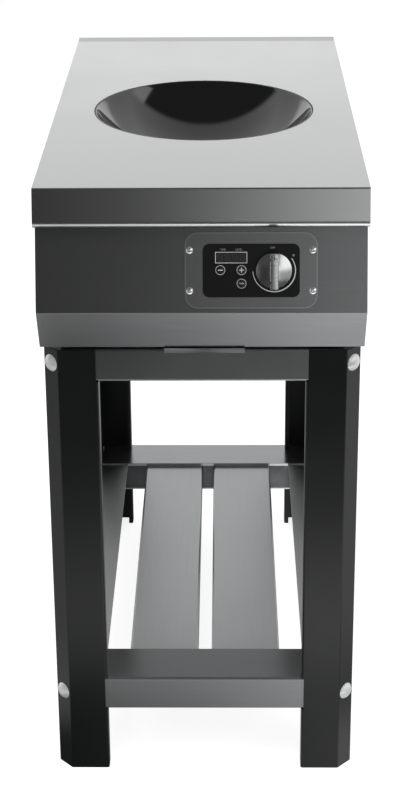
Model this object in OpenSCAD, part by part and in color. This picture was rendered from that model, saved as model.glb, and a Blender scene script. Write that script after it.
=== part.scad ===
// Induction wok cooker on a bolted stand with a slatted shelf.
// Millimetres, +Z up, front facing -Y, origin on the floor under the middle of the object.
// Places are worked out from the worktop's front edge (y = 0) and moved to the origin by placed().

/* [Worktop] */
// Width of the worktop
top_w = 400; // [380:1:440]
// Depth of the worktop from front edge to back edge
top_d = 750; // [730:1:800]
// Height of the flat worktop above the floor
top_h = 818; // [790:1:860]
// Thickness of the worktop sheet
top_t = 1.5; // [1.2:0.1:2]
// Height of the leaning front fascia
fascia_h = 49.5; // [44:0.5:54]
// How far the fascia's lower edge leans out
fascia_lean = 12; // [8:1:16]
// Outer radius of the fascia's rolled lower edge
roll_r = 10; // [8:0.5:10]
// Drop of the side and back skirts
skirt_h = 40; // [30:1:44]
// Depth of the raised strip along the back edge
strip_d = 24; // [18:1:32]
// Rise of that strip at the back edge
strip_rise = 1.5; // [1:0.5:3]

/* [Bowl] */
// Radius of the glass bowl at its rim
bowl_r = 147; // [140:1:152]
// Width of the bowl's flat rim
bowl_rim = 1; // [1:0.5:5]
// Depth of the bowl
bowl_depth = 80; // [70:1:88]
// Thickness of the glass
bowl_t = 5; // [4:0.5:6]
// Width of the seal round the rim
seal_w = 1.5; // [1:0.1:2.5]
// Distance of the bowl's centre behind the front edge
bowl_y = 340; // [320:1:360]

/* [Housing] */
// Height of the housing from its bottom edge to the worktop
housing_h = 205; // [200:0.5:215]
// Thickness of the housing sheet
housing_t = 1.5; // [1.2:0.1:2]
// Gap between the worktop's skirts and the housing
skirt_gap = 0.5; // [0.3:0.1:1]
// Slope of the control panel from the vertical, in degrees
panel_tilt = 15; // [12:0.5:18]
// How far the panel's lower edge stands in front of the worktop's edge
panel_reach = 25; // [20:1:30]
// Height of the control panel below the fascia
panel_h = 99.5; // [98:0.5:106]
// Setback of the housing's bottom edge behind the worktop's edge
toe_setback = 3; // [2:1:14]
// Thickness of the rubber feet under the base plate
foot_t = 6; // [4.6:0.1:6.5]

/* [Controls] */
// Distance of the controls' centre from the middle of the panel
ctrl_x = 59.4; // [40:0.1:80]
// Distance of the controls' centre above the panel's lower edge
ctrl_s = 51; // [47.5:0.5:52]
// Width of the control plate
plate_w = 158; // [152:1:166]
// Height of the control plate
plate_h = 91; // [86:1:94]
// Thickness of the control plate
plate_t = 1.5; // [1:0.1:2]
// Width of the black overlay
overlay_w = 115.5; // [112:0.5:118]
// Height of the black overlay
overlay_h = 64; // [61:0.5:66]
// Thickness of the overlay
overlay_t = 0.6; // [0.4:0.1:1]
// Width of the display window
display_w = 37; // [34:1:42]
// Height of the display window
display_h = 12.5; // [12:0.5:16]
// Radius of the round keys
key_r = 6.3; // [5.5:0.1:6.6]
// Travel of the keys
key_travel = 0.6; // [0.3:0.1:0.8]
// Radius of the knob
knob_r = 21.25; // [19:0.25:23]
// Height of the knob
knob_h = 20; // [17:0.5:22]
// Width of the knob's grip bar
knob_bar_w = 11; // [9:0.5:13]
// Radius of the knob's shaft
shaft_r = 3; // [2.5:0.1:3.2]

/* [Filter] */
// Width of the filter drawer
filter_w = 98; // [90:1:104]
// Length of the filter drawer behind its lip
filter_d = 168; // [160:1:180]
// Thickness of the filter drawer
filter_t = 2.2; // [1.8:0.1:2.4]
// Height of the finger lip
filter_lip_h = 6.3; // [5:0.1:9]
// Distance of the drawer's centre from the middle of the object
filter_x = 3; // [0:1:6]

/* [Stand] */
// Width of the stand over its legs
stand_w = 390; // [376:1:396]
// Depth of the stand over its legs
stand_d = 683; // [660:1:700]
// Setback of the legs behind the worktop's front edge
stand_setback = 3; // [1:0.5:6]
// Width of a leg's face from its chamfer to its return
leg_face = 49.5; // [44:0.5:54]
// Size of the chamfer down each leg
leg_chamfer = 18; // [17:0.5:20]
// Depth of the returns along a leg's inner edges
leg_return = 21; // [18:1:24]
// Width of the lip on each return
leg_lip = 7; // [5:0.5:9]
// Thickness of the leg sheet
leg_t = 2; // [1.6:0.1:2.4]
// How far the upper rails stand above the legs
leg_drop = 0.5; // [0.5:0.5:3]
// Height of the shelf above the floor
shelf_h = 138.5; // [120:0.5:180]
// Height of the upper rails
rail_h = 43; // [40:1:50]
// Height of the shelf's rails
shelf_rail_h = 47; // [40:1:50]
// Depth of the flanges of the front and rear rails
rail_flange = 69; // [62:1:72]
// Lip along the inner edge of those flanges
rail_lip = 4.5; // [3:0.5:8]
// Depth of the upper flanges of the side rails
side_flange = 62; // [56:1:66]
// Depth of the lower flanges of the side rails
side_ledge = 42; // [36:1:56]
// Thickness of the rail sheet
rail_t = 2; // [1.6:0.1:2.4]
// Width of a shelf slat
slat_w = 91.5; // [84:0.5:96]
// Gap between the two slats
slat_gap = 18.5; // [14:0.5:28]
// Radius of the leg bolts
bolt_r = 5; // [4:0.5:5]
// Radius of the bolts' dome heads
bolt_head_r = 11; // [9:0.5:11.5]

/* [Hidden] */
$fn = 96;

// Overrun of every cut, fewest facets of a bend, inner radius of bends in sheet, and small clearances
over = 1;
bend_steps = 4;
fuzz = 0.001;
bend_r = 1;
fit = 0.2;
shaft_fit = 0.05;

// Colours
steel = "#c3c5c7";
grey_steel = "#8f9194";
black_coat = "#232426";
black_gloss = "#0d0d0e";
zinc = "#d4d6d8";
green_board = "#2f5d3a";
dark_plastic = "#303133";

// Levels and places that several pieces share
housing_w = top_w - 2 * (top_t + skirt_gap);
under_z = top_h - top_t;
base_z = top_h - housing_h;
floor_z = base_z + 2 * housing_t;
frame_h = base_z + housing_t - foot_t;
leg_h = frame_h - leg_drop;
panel_z = top_h - fascia_h - panel_h;
panel_y = -panel_reach;
brow_h = panel_z - base_z;
panel_top_y = panel_y + (under_z - panel_z) * tan(panel_tilt);
brow_angle = atan((toe_setback - panel_y) / brow_h);
back_gap = 2;
back_y = top_d - top_t - back_gap - housing_t;
stand_mid = stand_setback + stand_d / 2;
leg_reach = leg_chamfer + leg_face;
rail_in = leg_t + rail_t;
upper_bolt_drop = 20.5;
rail_rows = [[frame_h, rail_h, frame_h - upper_bolt_drop],
    [shelf_h, shelf_rail_h, shelf_h - shelf_rail_h / 2]];

// The knob's lower front edge is the foremost point of the object
plate_top = plate_t + overlay_t;
knob_gap = 0.5;
knob_row = 0.5;
knob_s = ctrl_s + knob_row;
knob_top = plate_top + knob_gap + knob_h;
front_y = panel_y + (knob_s - knob_r) * sin(panel_tilt) - knob_top * cos(panel_tilt);
mid_y = (top_d + front_y) / 2;

module placed() {
    translate([0, -mid_y, 0]) children();
}

// Bent sheet: a path of the outer surface, thickened to its left, with every bend rounded
function unit(v) = v / norm(v);
function left_of(v) = [-v[1], v[0]];
function reversed(list) = [for (i = [len(list) - 1 : -1 : 0]) list[i]];
function turns_left(a, b, c) = (b[0] - a[0]) * (c[1] - b[1]) - (b[1] - a[1]) * (c[0] - b[0]) > 0;
function bend_count(r) = max(bend_steps, ceil(2 * r / bend_r));
function bend(a, b, c, r) =
    let (u = unit(a - b), w = unit(c - b), half = acos(u * w) / 2,
        m = b + unit(u + w) * r / sin(half), p = b + u * r / tan(half), q = b + w * r / tan(half),
        start = atan2(p[1] - m[1], p[0] - m[0]),
        sweep = (atan2(q[1] - m[1], q[0] - m[0]) - start + 540) % 360 - 180)
    [for (a = [0 : 1 / bend_count(r) : 1 + fuzz])
        m + r * [cos(start + sweep * a), sin(start + sweep * a)]];
function shifted(path, d) =
    [for (i = [0 : len(path) - 1])
        let (n0 = left_of(unit(i == 0 ? path[1] - path[0] : path[i] - path[i - 1])),
            n1 = left_of(unit(i == len(path) - 1 ? path[i] - path[i - 1] : path[i + 1] - path[i])),
            m = n0 + n1)
        path[i] + m * 2 * d / (m * m)];
function rounded(path, left_r, right_r) =
    concat([path[0]],
        [for (i = [1 : len(path) - 2])
            each bend(path[i - 1], path[i], path[i + 1],
                turns_left(path[i - 1], path[i], path[i + 1]) ? left_r[i] : right_r[i])],
        [path[len(path) - 1]]);
function same(path, r) = [for (p = path) r];
function folded(path, t, inner = []) =
    let (small = len(inner) > 0 ? inner : same(path, bend_r), large = [for (r = small) r + t])
    concat(rounded(path, large, small), reversed(rounded(shifted(path, t), small, large)));

// A profile drawn in Y and Z runs along X; one drawn in X and Z runs along Y
module along_x(w) {
    rotate([90, 0, 90]) translate([0, 0, -w / 2]) linear_extrude(w) children();
}
module along_y(y0, y1) {
    translate([0, y1, 0]) rotate([90, 0, 0]) linear_extrude(y1 - y0) children();
}
module block(low, high) {
    translate(low) cube(high - low);
}
module rod(r, z0, z1) {
    translate([0, 0, z0]) cylinder(r = r, h = z1 - z0);
}
module tube(r, bore, z0, z1) {
    difference() {
        rod(r, z0, z1);
        rod(bore, z0 - over, z1 + over);
    }
}
module hex(across, z0, z1) {
    translate([0, 0, z0]) cylinder(r = across / sqrt(3), h = z1 - z0, $fn = 6);
}
module rounded_plate(w, h, r, z0, z1) {
    block([-w / 2 + r, -h / 2, z0], [w / 2 - r, h / 2, z1]);
    block([-w / 2, -h / 2 + r, z0], [w / 2, h / 2 - r, z1]);
    for (x = [-1, 1], y = [-1, 1])
        translate([x * (w / 2 - r), y * (h / 2 - r), 0]) rod(r, z0, z1);
}
module four(x, y) {
    for (i = [-1, 1], j = [-1, 1])
        translate([i * x, j * y, 0]) children();
}

// Worktop: one bent sheet with welded side skirts
hole_r = bowl_r + seal_w;
fascia_in = panel_y + panel_h * tan(panel_tilt) - skirt_gap;
top_path = [[top_d, top_h + strip_rise - skirt_h], [top_d, top_h + strip_rise], [top_d - strip_d, top_h],
    [0, top_h], [-fascia_lean, top_h - fascia_h], [fascia_in, top_h - fascia_h]];
top_bends = [bend_r, bend_r, bend_r, bend_r, roll_r - top_t, bend_r];
skirt_z = top_h - skirt_h;
skirt_top = -fascia_lean * 2 * top_t / fascia_h;
skirt_front = -fascia_lean * skirt_h / fascia_h;
module worktop() {
    placed() color(steel) difference() {
        union() {
            along_x(top_w) polygon(folded(top_path, top_t, top_bends));
            for (side = [-1, 1])
                translate([side * (top_w - top_t) / 2, 0, 0]) along_x(top_t)
                    polygon([[top_d, skirt_z], [top_d, top_h], [top_d - strip_d, top_h - top_t / 2],
                        [top_t, top_h - top_t / 2], [skirt_top + 0.6 * top_t, top_h - 2 * top_t],
                        [skirt_front + 0.8 * top_t, skirt_z]]);
        }
        translate([0, bowl_y, 0]) rod(hole_r, under_z - over, top_h + over);
    }
}

// Wok bowl, its seal and the ring that carries it
bowl_in = bowl_r - bowl_rim;
bowl_sphere = (bowl_in * bowl_in + bowl_depth * bowl_depth) / (2 * bowl_depth);
bowl_mid = top_h - bowl_depth + bowl_sphere;
function bowl_out(z) = sqrt(pow(bowl_sphere + bowl_t, 2) - pow(bowl_mid - z, 2));
seal_h = 6;
ring_t = 2;
ring_drop = 12;
ring_flange = 18;
ring_z = top_h - ring_drop;
ring_in = bowl_out(ring_z) + fit;
module at_bowl() {
    translate([0, bowl_y, 0]) children();
}
module bowl_cap(r, reach) {
    intersection() {
        translate([0, 0, bowl_mid]) sphere(r = r, $fn = 180);
        rod(reach, bowl_mid - 2 * r, top_h);
    }
}
module wok_bowl() {
    placed() at_bowl() color(black_gloss) difference() {
        bowl_cap(bowl_sphere + bowl_t, bowl_r);
        translate([0, 0, bowl_mid]) sphere(r = bowl_sphere, $fn = 180);
    }
}
module bowl_seal() {
    placed() at_bowl() color("#161617") tube(hole_r, bowl_r, top_h - seal_h, top_h);
}
module bowl_ring() {
    placed() at_bowl() color(grey_steel) {
        tube(hole_r + ring_flange, hole_r, under_z - ring_t, under_z);
        tube(hole_r + ring_t, hole_r, ring_z - ring_t, under_z);
        tube(hole_r + ring_t, ring_in, ring_z - ring_t, ring_z);
    }
}

// Housing: front panel, sides, louvred rear panel and base plate
front_lip = 18;
face_path = [[panel_top_y, under_z], [panel_y, panel_z], [toe_setback, base_z]];
front_path = concat([[panel_top_y + front_lip, under_z]], face_path, [[toe_setback + front_lip, base_z]]);
inner_w = housing_w - 2 * housing_t;
cutout_w = 112;
cutout_h = 60;
plate_screw_x = 73.4;
plate_screw_s = 24.3;
plate_screw_r = 2;
module on_panel(x, s) {
    translate([x, panel_y, panel_z]) rotate([90 - panel_tilt, 0, 0]) translate([0, s, 0]) children();
}
module on_controls() {
    on_panel(ctrl_x, ctrl_s) children();
}
module front_panel() {
    placed() color(grey_steel) difference() {
        union() {
            along_x(inner_w - fit) polygon(folded(front_path, housing_t));
            along_x(housing_w) polygon(folded(face_path, housing_t));
        }
        on_controls() {
            block([-cutout_w / 2, -cutout_h / 2, -housing_t - over], [cutout_w / 2, cutout_h / 2, over]);
            four(plate_screw_x, plate_screw_s) rod(plate_screw_r + fit, -housing_t - over, over);
        }
    }
}
side_outline = [[panel_top_y + housing_t / cos(panel_tilt), under_z], shifted(face_path, housing_t)[1],
    [toe_setback + housing_t / cos(brow_angle), base_z], [back_y, base_z], [back_y, under_z]];
module side_sheet(side) {
    translate([side * (housing_w - housing_t) / 2, 0, 0]) along_x(housing_t) polygon(side_outline);
}
module left_side() {
    placed() color(grey_steel) side_sheet(-1);
}
module right_side() {
    placed() color(grey_steel) side_sheet(1);
}
slot_w = 110;
slot_h = 5;
slot_pitch = 13;
slot_rows = 6;
slots_h = (slot_rows - 1) * slot_pitch + slot_h;
slot_z = (base_z + skirt_z - slots_h) / 2;
slot_x_share = 0.24;
rear_screw_r = 2;
rear_screw_head = 4;
rear_screw_inset = 12;
rear_screw_len = 6;
rear_screw_x = housing_w / 2 - rear_screw_inset;
rear_screw_levels = [base_z + rear_screw_inset, skirt_z - rear_screw_inset];
module rear_screws_at() {
    for (x = [-1, 0, 1], z = rear_screw_levels)
        translate([x * rear_screw_x, back_y + housing_t, z]) rotate([90, 0, 0]) children();
}
module rear_panel() {
    placed() color(grey_steel) difference() {
        block([-housing_w / 2, back_y, base_z], [housing_w / 2, back_y + housing_t, under_z]);
        for (side = [-1, 1], i = [0 : slot_rows - 1])
            translate([side * slot_x_share * housing_w, 0, slot_z + i * slot_pitch])
                block([-slot_w / 2, back_y - over, 0], [slot_w / 2, back_y + housing_t + over, slot_h]);
        rear_screws_at() rod(rear_screw_r + fit, -over, housing_t + over);
    }
}
rear_screw_dome = 1.8;
module rear_panel_screws() {
    placed() color(zinc) rear_screws_at() {
        rod(rear_screw_head, -rear_screw_dome, 0);
        rod(rear_screw_r, 0, rear_screw_len);
    }
}

// Filter drawer, its runners, and the air intake above it
drawer_gap = (foot_t - housing_t - filter_t) / 2;
drawer_z = frame_h + drawer_gap;
drawer_top = drawer_z + filter_t;
lip_t = 2;
lip_gap = 2;
lip_y = stand_setback + leg_t - lip_gap;
mesh_rim = 8;
mesh_y = stand_setback + leg_t + rail_flange;
mesh_t = 1;
runner_t = 1.2;
runner_y = stand_setback + leg_t + rail_flange + lip_gap;
runner_len = 110;
filter_end = lip_y + filter_d;
module filter_frame() {
    placed() translate([filter_x, 0, 0]) color(steel) {
        difference() {
            block([-filter_w / 2, lip_y - lip_t, drawer_z], [filter_w / 2, filter_end, drawer_top]);
            block([-filter_w / 2 + mesh_rim, mesh_y, drawer_z - over],
                [filter_w / 2 - mesh_rim, filter_end - mesh_rim, drawer_top + over]);
        }
        block([-filter_w / 2, lip_y - lip_t, drawer_top - filter_lip_h],
            [filter_w / 2, lip_y, drawer_top]);
    }
}
module filter_mesh() {
    placed() translate([filter_x, 0, drawer_z + (filter_t - mesh_t) / 2]) color(grey_steel)
        block([-filter_w / 2 + mesh_rim, mesh_y, 0],
            [filter_w / 2 - mesh_rim, filter_end - mesh_rim, mesh_t]);
}
module runner() {
    low = drawer_z - fit - runner_t;
    outer = filter_w / 2 + fit + runner_t;
    block([filter_w / 2 - mesh_rim / 2, 0, low], [outer, runner_len, drawer_z - fit]);
    block([outer - runner_t, 0, low], [outer, runner_len, base_z + housing_t]);
}
module filter_runners() {
    placed() translate([filter_x, runner_y, 0]) color(zinc) {
        runner();
        mirror([1, 0, 0]) runner();
    }
}
fan_size = 92;
fan_h = 25;
fan_y = mesh_y + fan_size / 2 - mesh_rim;
fan_bore = 43;
intake_bars = 7;
intake_pitch = 2 * fan_bore / intake_bars;
intake_gap_share = 0.62;
gland_inset = 76.5;
gland_x = inner_w / 2 - gland_inset;
gland_behind = 24;
gland_y = stand_setback + stand_d + gland_behind;
gland_r = 12.5;
gland_bore = 7;
module base_plate() {
    placed() color(grey_steel) difference() {
        block([-inner_w / 2, toe_setback + housing_t / cos(brow_angle), base_z + housing_t],
            [inner_w / 2, back_y, floor_z]);
        translate([filter_x, fan_y, 0]) intersection() {
            rod(fan_bore, base_z, floor_z + over);
            for (i = [0 : intake_bars - 1])
                translate([0, (i - (intake_bars - 1) / 2) * intake_pitch, 0])
                    block([-fan_bore, -intake_pitch * intake_gap_share / 2, base_z],
                        [fan_bore, intake_pitch * intake_gap_share / 2, floor_z + over]);
        }
        translate([gland_x, gland_y, 0]) rod(gland_r + fit, base_z, floor_z + over);
    }
}
foot_w = 30;
foot_x = stand_w / 2 - leg_chamfer - foot_w;
foot_in = rail_flange - foot_w / 2;
module housing_feet() {
    placed() translate([0, stand_mid, 0]) color(dark_plastic) four(foot_x, stand_d / 2 - foot_in)
        block([-foot_w / 2, -foot_w / 2, frame_h], [foot_w / 2, foot_w / 2, frame_h + foot_t]);
}

// Control plate, overlay, display and keys; heights are measured out from the panel's face
plate_corner = 16;
overlay_corner = 8;
display_x = -23.8;
display_s = 15.5;
key_left = -36.7;
key_right = -11.5;
key_row = 0.4;
timer_row = -15.8;
knob_x = 26.9;
bush_r = 4.5;
key_gap = 0.3;
key_places = [[key_left, key_row], [key_right, key_row], [key_right, timer_row]];
module control_holes(z0, z1) {
    for (p = key_places)
        translate([p[0], p[1], 0]) rod(key_r + key_gap, z0, z1);
    translate([knob_x, knob_row, 0]) rod(bush_r + fit, z0, z1);
    translate([display_x, display_s, 0])
        block([-display_w / 2, -display_h / 2, z0], [display_w / 2, display_h / 2, z1]);
}
module control_plate() {
    placed() on_controls() color(grey_steel) difference() {
        rounded_plate(plate_w, plate_h, plate_corner, 0, plate_t);
        control_holes(-over, plate_t + over);
        four(plate_screw_x, plate_screw_s) rod(plate_screw_r + fit, -over, plate_t + over);
    }
}
plate_screw_head = 4.5;
plate_screw_dome = 2.4;
plate_screw_len = 8;
socket_share = 0.45;
module dome_head(r, h) {
    sphere_r = (r * r + h * h) / (2 * h);
    difference() {
        intersection() {
            translate([0, 0, h - sphere_r]) sphere(r = sphere_r);
            rod(r, 0, h + over);
        }
        hex(2 * r * socket_share, h / 2, h + over);
    }
}
module control_plate_screws() {
    placed() on_controls() color(zinc) four(plate_screw_x, plate_screw_s) {
        translate([0, 0, plate_t]) dome_head(plate_screw_head, plate_screw_dome);
        rod(plate_screw_r, -plate_screw_len, plate_t);
    }
}
module control_overlay() {
    placed() on_controls() color(black_gloss) difference() {
        rounded_plate(overlay_w, overlay_h, overlay_corner, plate_t, plate_top);
        control_holes(plate_t - over, plate_top + over);
    }
}
pane_drop = 0.2;
module display_window() {
    placed() on_controls() color("#1b1c1e") translate([display_x, display_s, 0])
        block([-display_w / 2, -display_h / 2, 0], [display_w / 2, display_h / 2, plate_top - pane_drop]);
}
key_proud = 0.2;
collar_w = 1.2;
collar_t = 1.6;
stem_r = 2;
stem_len = 4.8;
key_back = -fit - collar_t;
stem_end = key_back - stem_len;
module key_at(place) {
    placed() on_controls() translate([place[0], place[1], 0]) color(black_gloss) {
        rod(key_r, key_back, plate_top + key_proud);
        rod(key_r + collar_w, key_back, -fit);
        rod(stem_r, stem_end, key_back);
    }
}
module minus_key() {
    key_at(key_places[0]);
}
module plus_key() {
    key_at(key_places[1]);
}
module timer_key() {
    key_at(key_places[2]);
}

// Knob on its shaft, potentiometer, and the board behind them
pot_r = 12;
pot_h = 12;
bush_h = 7;
pot_nut = 12;
pot_nut_h = 3;
shaft_in = 9;
shaft_out = 17.5;
knob_skirt_h = 9;
knob_well = 10;
knob_well_h = 6;
knob_slope = 12;
module at_knob() {
    on_controls() translate([knob_x, knob_row, 0]) children();
}
module knob_cut() {
    reach = 2 * knob_r;
    along_y(-reach, reach)
        polygon([[knob_bar_w / 2, knob_skirt_h],
            [reach, knob_skirt_h - (reach - knob_bar_w / 2) * tan(knob_slope)],
            [reach, knob_h + over], [knob_bar_w / 2, knob_h + over]]);
}
module knob() {
    placed() at_knob() color("#b9bbbd") translate([0, 0, plate_top + knob_gap]) difference() {
        rod(knob_r, 0, knob_h);
        knob_cut();
        mirror([1, 0, 0]) knob_cut();
        rod(knob_well, -over, knob_well_h);
        rod(shaft_r + shaft_fit, -over, shaft_out - plate_top - knob_gap + fit);
    }
}
module control_shaft() {
    placed() at_knob() color(zinc) rod(shaft_r, -shaft_in, shaft_out);
}
module potentiometer() {
    placed() at_knob() color(dark_plastic) difference() {
        union() {
            rod(pot_r, -pot_h, 0);
            rod(bush_r, -over, bush_h);
        }
        rod(shaft_r + shaft_fit, -shaft_in - shaft_fit, bush_h + over);
    }
}
module potentiometer_nut() {
    placed() at_knob() color(zinc) difference() {
        hex(pot_nut, plate_top, plate_top + pot_nut_h);
        rod(bush_r, plate_top - over, plate_top + pot_nut_h + over);
    }
}
board_t = 1.6;
board_w = 108;
board_h = 52;
standoff_r = 3;
standoff_inset = 4;
module control_board() {
    placed() on_controls() color(green_board)
        block([-board_w / 2, -board_h / 2, -pot_h - board_t], [board_w / 2, board_h / 2, -pot_h]);
}
module board_standoffs() {
    placed() on_controls() color(zinc) four(board_w / 2 - standoff_inset, board_h / 2 - standoff_inset)
        rod(standoff_r, -pot_h, 0);
}
switch_w = 6;
switch_gap = 0.1;
module key_switches() {
    placed() on_controls() color(dark_plastic)
        for (p = key_places)
            translate([p[0], p[1], 0])
                block([-switch_w / 2, -switch_w / 2, -pot_h],
                    [switch_w / 2, switch_w / 2, stem_end - key_travel - switch_gap]);
}

// Induction coil in a dished carrier that hangs under the bowl ring
coil_gap = 2;
coil_t = 6;
coil_r = 112;
coil_eye = 26;
carrier_t = 3.4;
carrier_edge = 120;
carrier_flange_t = 4;
coil_in = bowl_sphere + bowl_t + coil_gap;
coil_out = coil_in + coil_t;
carrier_out = coil_out + carrier_t;
carrier_z = bowl_mid - sqrt(carrier_out * carrier_out - carrier_edge * carrier_edge);
post_r = 4;
post_at = hole_r - post_r / 2;
probe_r = 6;
probe_h = 3;
probe_stem = 3;
probe_len = 22;
bowl_low = bowl_mid - bowl_sphere - bowl_t;
module dish(outer, inner, reach, eye) {
    difference() {
        intersection() {
            translate([0, 0, bowl_mid]) sphere(r = outer, $fn = 180);
            rod(reach, bowl_mid - 2 * outer, bowl_mid);
        }
        translate([0, 0, bowl_mid]) sphere(r = inner, $fn = 180);
        rod(eye, bowl_mid - 2 * outer, bowl_mid);
    }
}
module induction_coil() {
    placed() at_bowl() color("#a5602f") dish(coil_out, coil_in, coil_r, coil_eye);
}
module coil_carrier() {
    placed() at_bowl() color("#d8d6ce") {
        dish(carrier_out, coil_out, carrier_edge, probe_stem + fit);
        tube(post_at + 2 * post_r, carrier_edge - carrier_t, carrier_z, carrier_z + carrier_flange_t);
    }
}
module coil_posts() {
    placed() at_bowl() color(zinc)
        for (a = [45 : 90 : 315])
            rotate([0, 0, a]) translate([post_at, 0, 0])
                rod(post_r, carrier_z + carrier_flange_t, ring_z - ring_t);
}
ferrite_l = 54;
ferrite_w = 14;
ferrite_t = 5;
ferrite_count = 6;
ferrite_mid = 66;
module ferrite_bars() {
    placed() at_bowl() color("#3a3a3d")
        for (i = [0 : ferrite_count - 1])
            rotate([0, 0, i * 360 / ferrite_count]) translate([0, 0, bowl_mid])
                rotate([0, -asin(ferrite_mid / carrier_out), 0]) translate([0, 0, -carrier_out - fit])
                    block([-ferrite_l / 2, -ferrite_w / 2, -ferrite_t], [ferrite_l / 2, ferrite_w / 2, 0]);
}
module temperature_probe() {
    placed() at_bowl() color(zinc) {
        rod(probe_r, bowl_low - fit - probe_h, bowl_low - fit);
        rod(probe_stem, bowl_low - probe_len, bowl_low - fit);
    }
}

// Generator board with its heat sink and capacitors, terminal block and cable gland
gen_w = 250;
gen_d = 270;
gen_lift = 12;
gen_z = floor_z + gen_lift;
gen_top = gen_z + board_t;
gen_inset = 10;
gen_post_r = 4;
module at_generator() {
    translate([0, bowl_y, 0]) children();
}
module generator_board() {
    placed() at_generator() color(green_board)
        block([-gen_w / 2, -gen_d / 2, gen_z], [gen_w / 2, gen_d / 2, gen_top]);
}
module generator_standoffs() {
    placed() at_generator() color(zinc) four(gen_w / 2 - gen_inset, gen_d / 2 - gen_inset)
        rod(gen_post_r, floor_z, gen_z);
}
sink_w = 130;
sink_d = 110;
sink_h = 44;
sink_base = 8;
fin_t = 2;
fin_count = 12;
module heat_sink() {
    placed() at_generator() translate([0, -gen_d / 2 + gen_inset, gen_top]) color("#b7babd") {
        block([-sink_w / 2, 0, 0], [sink_w / 2, sink_d, sink_base]);
        for (i = [0 : fin_count - 1])
            translate([-sink_w / 2 + i * (sink_w - fin_t) / (fin_count - 1), 0, 0])
                block([0, 0, 0], [fin_t, sink_d, sink_h]);
    }
}
cap_r = 16;
cap_h = 46;
film_w = 42;
film_d = 22;
film_h = 36;
cap_x_share = 0.3;
cap_y_share = 0.22;
film_y_share = 0.38;
module capacitors() {
    placed() at_generator() color(dark_plastic)
        for (side = [-1, 1]) {
            translate([side * cap_x_share * gen_w, cap_y_share * gen_d, 0])
                rod(cap_r, gen_top, gen_top + cap_h);
            translate([side * cap_x_share * gen_w / 2, film_y_share * gen_d, gen_top])
                block([-film_w / 2, -film_d / 2, 0], [film_w / 2, film_d / 2, film_h]);
        }
}
term_w = 70;
term_d = 26;
term_h = 28;
term_poles = 5;
term_hole = 3;
term_gap = 37.5;
module terminal_block() {
    placed() translate([gland_x, gland_y - term_gap - term_d, floor_z]) color("#e6e3d8") difference() {
        block([-term_w / 2, 0, 0], [term_w / 2, term_d, term_h]);
        for (i = [0 : term_poles - 1])
            translate([-term_w / 2 + (i + 0.5) * term_w / term_poles, term_d / 2, 0])
                rod(term_hole, term_h / 2, term_h + over);
    }
}
gland_hex = 30;
gland_flange = 6;
gland_cap_r = 13.5;
gland_cap_h = 18;
gland_nut_hex = 32;
gland_nut_h = 5;
gland_low = base_z + housing_t - gland_flange - gland_cap_h;
gland_top = floor_z + gland_nut_h + 2 * fit;
module at_gland() {
    translate([gland_x, gland_y, 0]) children();
}
module cable_gland() {
    placed() at_gland() color(dark_plastic) difference() {
        union() {
            hex(gland_hex, base_z + housing_t - gland_flange, base_z + housing_t);
            rod(gland_cap_r, gland_low, base_z + housing_t - gland_flange);
            rod(gland_r, gland_low, gland_top);
        }
        rod(gland_bore, gland_low - over, gland_top + over);
    }
}
module gland_nut() {
    placed() at_gland() color(dark_plastic) difference() {
        hex(gland_nut_hex, floor_z, floor_z + gland_nut_h);
        rod(gland_r + shaft_fit, floor_z - over, floor_z + gland_nut_h + over);
    }
}

// Axial fan over the intake
fan_hub = 17;
fan_strut = 5;
fan_strut_t = 3;
fan_shaft_r = 2.5;
fan_shaft_len = 12;
fan_run_gap = 1.2;
blade_count = 7;
blade_t = 2;
blade_angle = 38;
blade_w = 22;
fan_screw_r = 2.2;
fan_corner = 5;
fan_boss = fan_h / 3;
module at_fan() {
    translate([filter_x, fan_y, floor_z]) children();
}
module fan_frame() {
    placed() at_fan() color(dark_plastic) difference() {
        union() {
            difference() {
                rounded_plate(fan_size, fan_size, fan_corner, 0, fan_h);
                rod(fan_bore, -over, fan_h + over);
            }
            rod(fan_hub, 0, fan_boss);
            for (a = [0 : 90 : 270])
                rotate([0, 0, a])
                    block([0, -fan_strut / 2, 0], [fan_bore + over, fan_strut / 2, fan_strut_t]);
        }
        rod(fan_shaft_r + shaft_fit, fan_strut_t, fan_boss + over);
        four(fan_size / 2 - fan_corner, fan_size / 2 - fan_corner) rod(fan_screw_r, -over, fan_h + over);
    }
}
module fan_rotor() {
    rotor_low = fan_boss + fan_run_gap;
    rotor_h = fan_h - rotor_low - fan_run_gap;
    blade_len = fan_bore - fan_hub - fan_run_gap;
    placed() at_fan() color("#3c3d40") {
        rod(fan_hub, rotor_low, rotor_low + rotor_h);
        rod(fan_shaft_r, fan_strut_t + fit, rotor_low);
        intersection() {
            rod(fan_bore - fan_run_gap, rotor_low, rotor_low + rotor_h);
            for (i = [0 : blade_count - 1])
                rotate([0, 0, i * 360 / blade_count])
                    translate([fan_hub - over, 0, rotor_low + rotor_h / 2]) rotate([blade_angle, 0, 0])
                        block([0, -blade_w / 2, -blade_t / 2],
                            [blade_len + 2 * over, blade_w / 2, blade_t / 2]);
        }
    }
}

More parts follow.
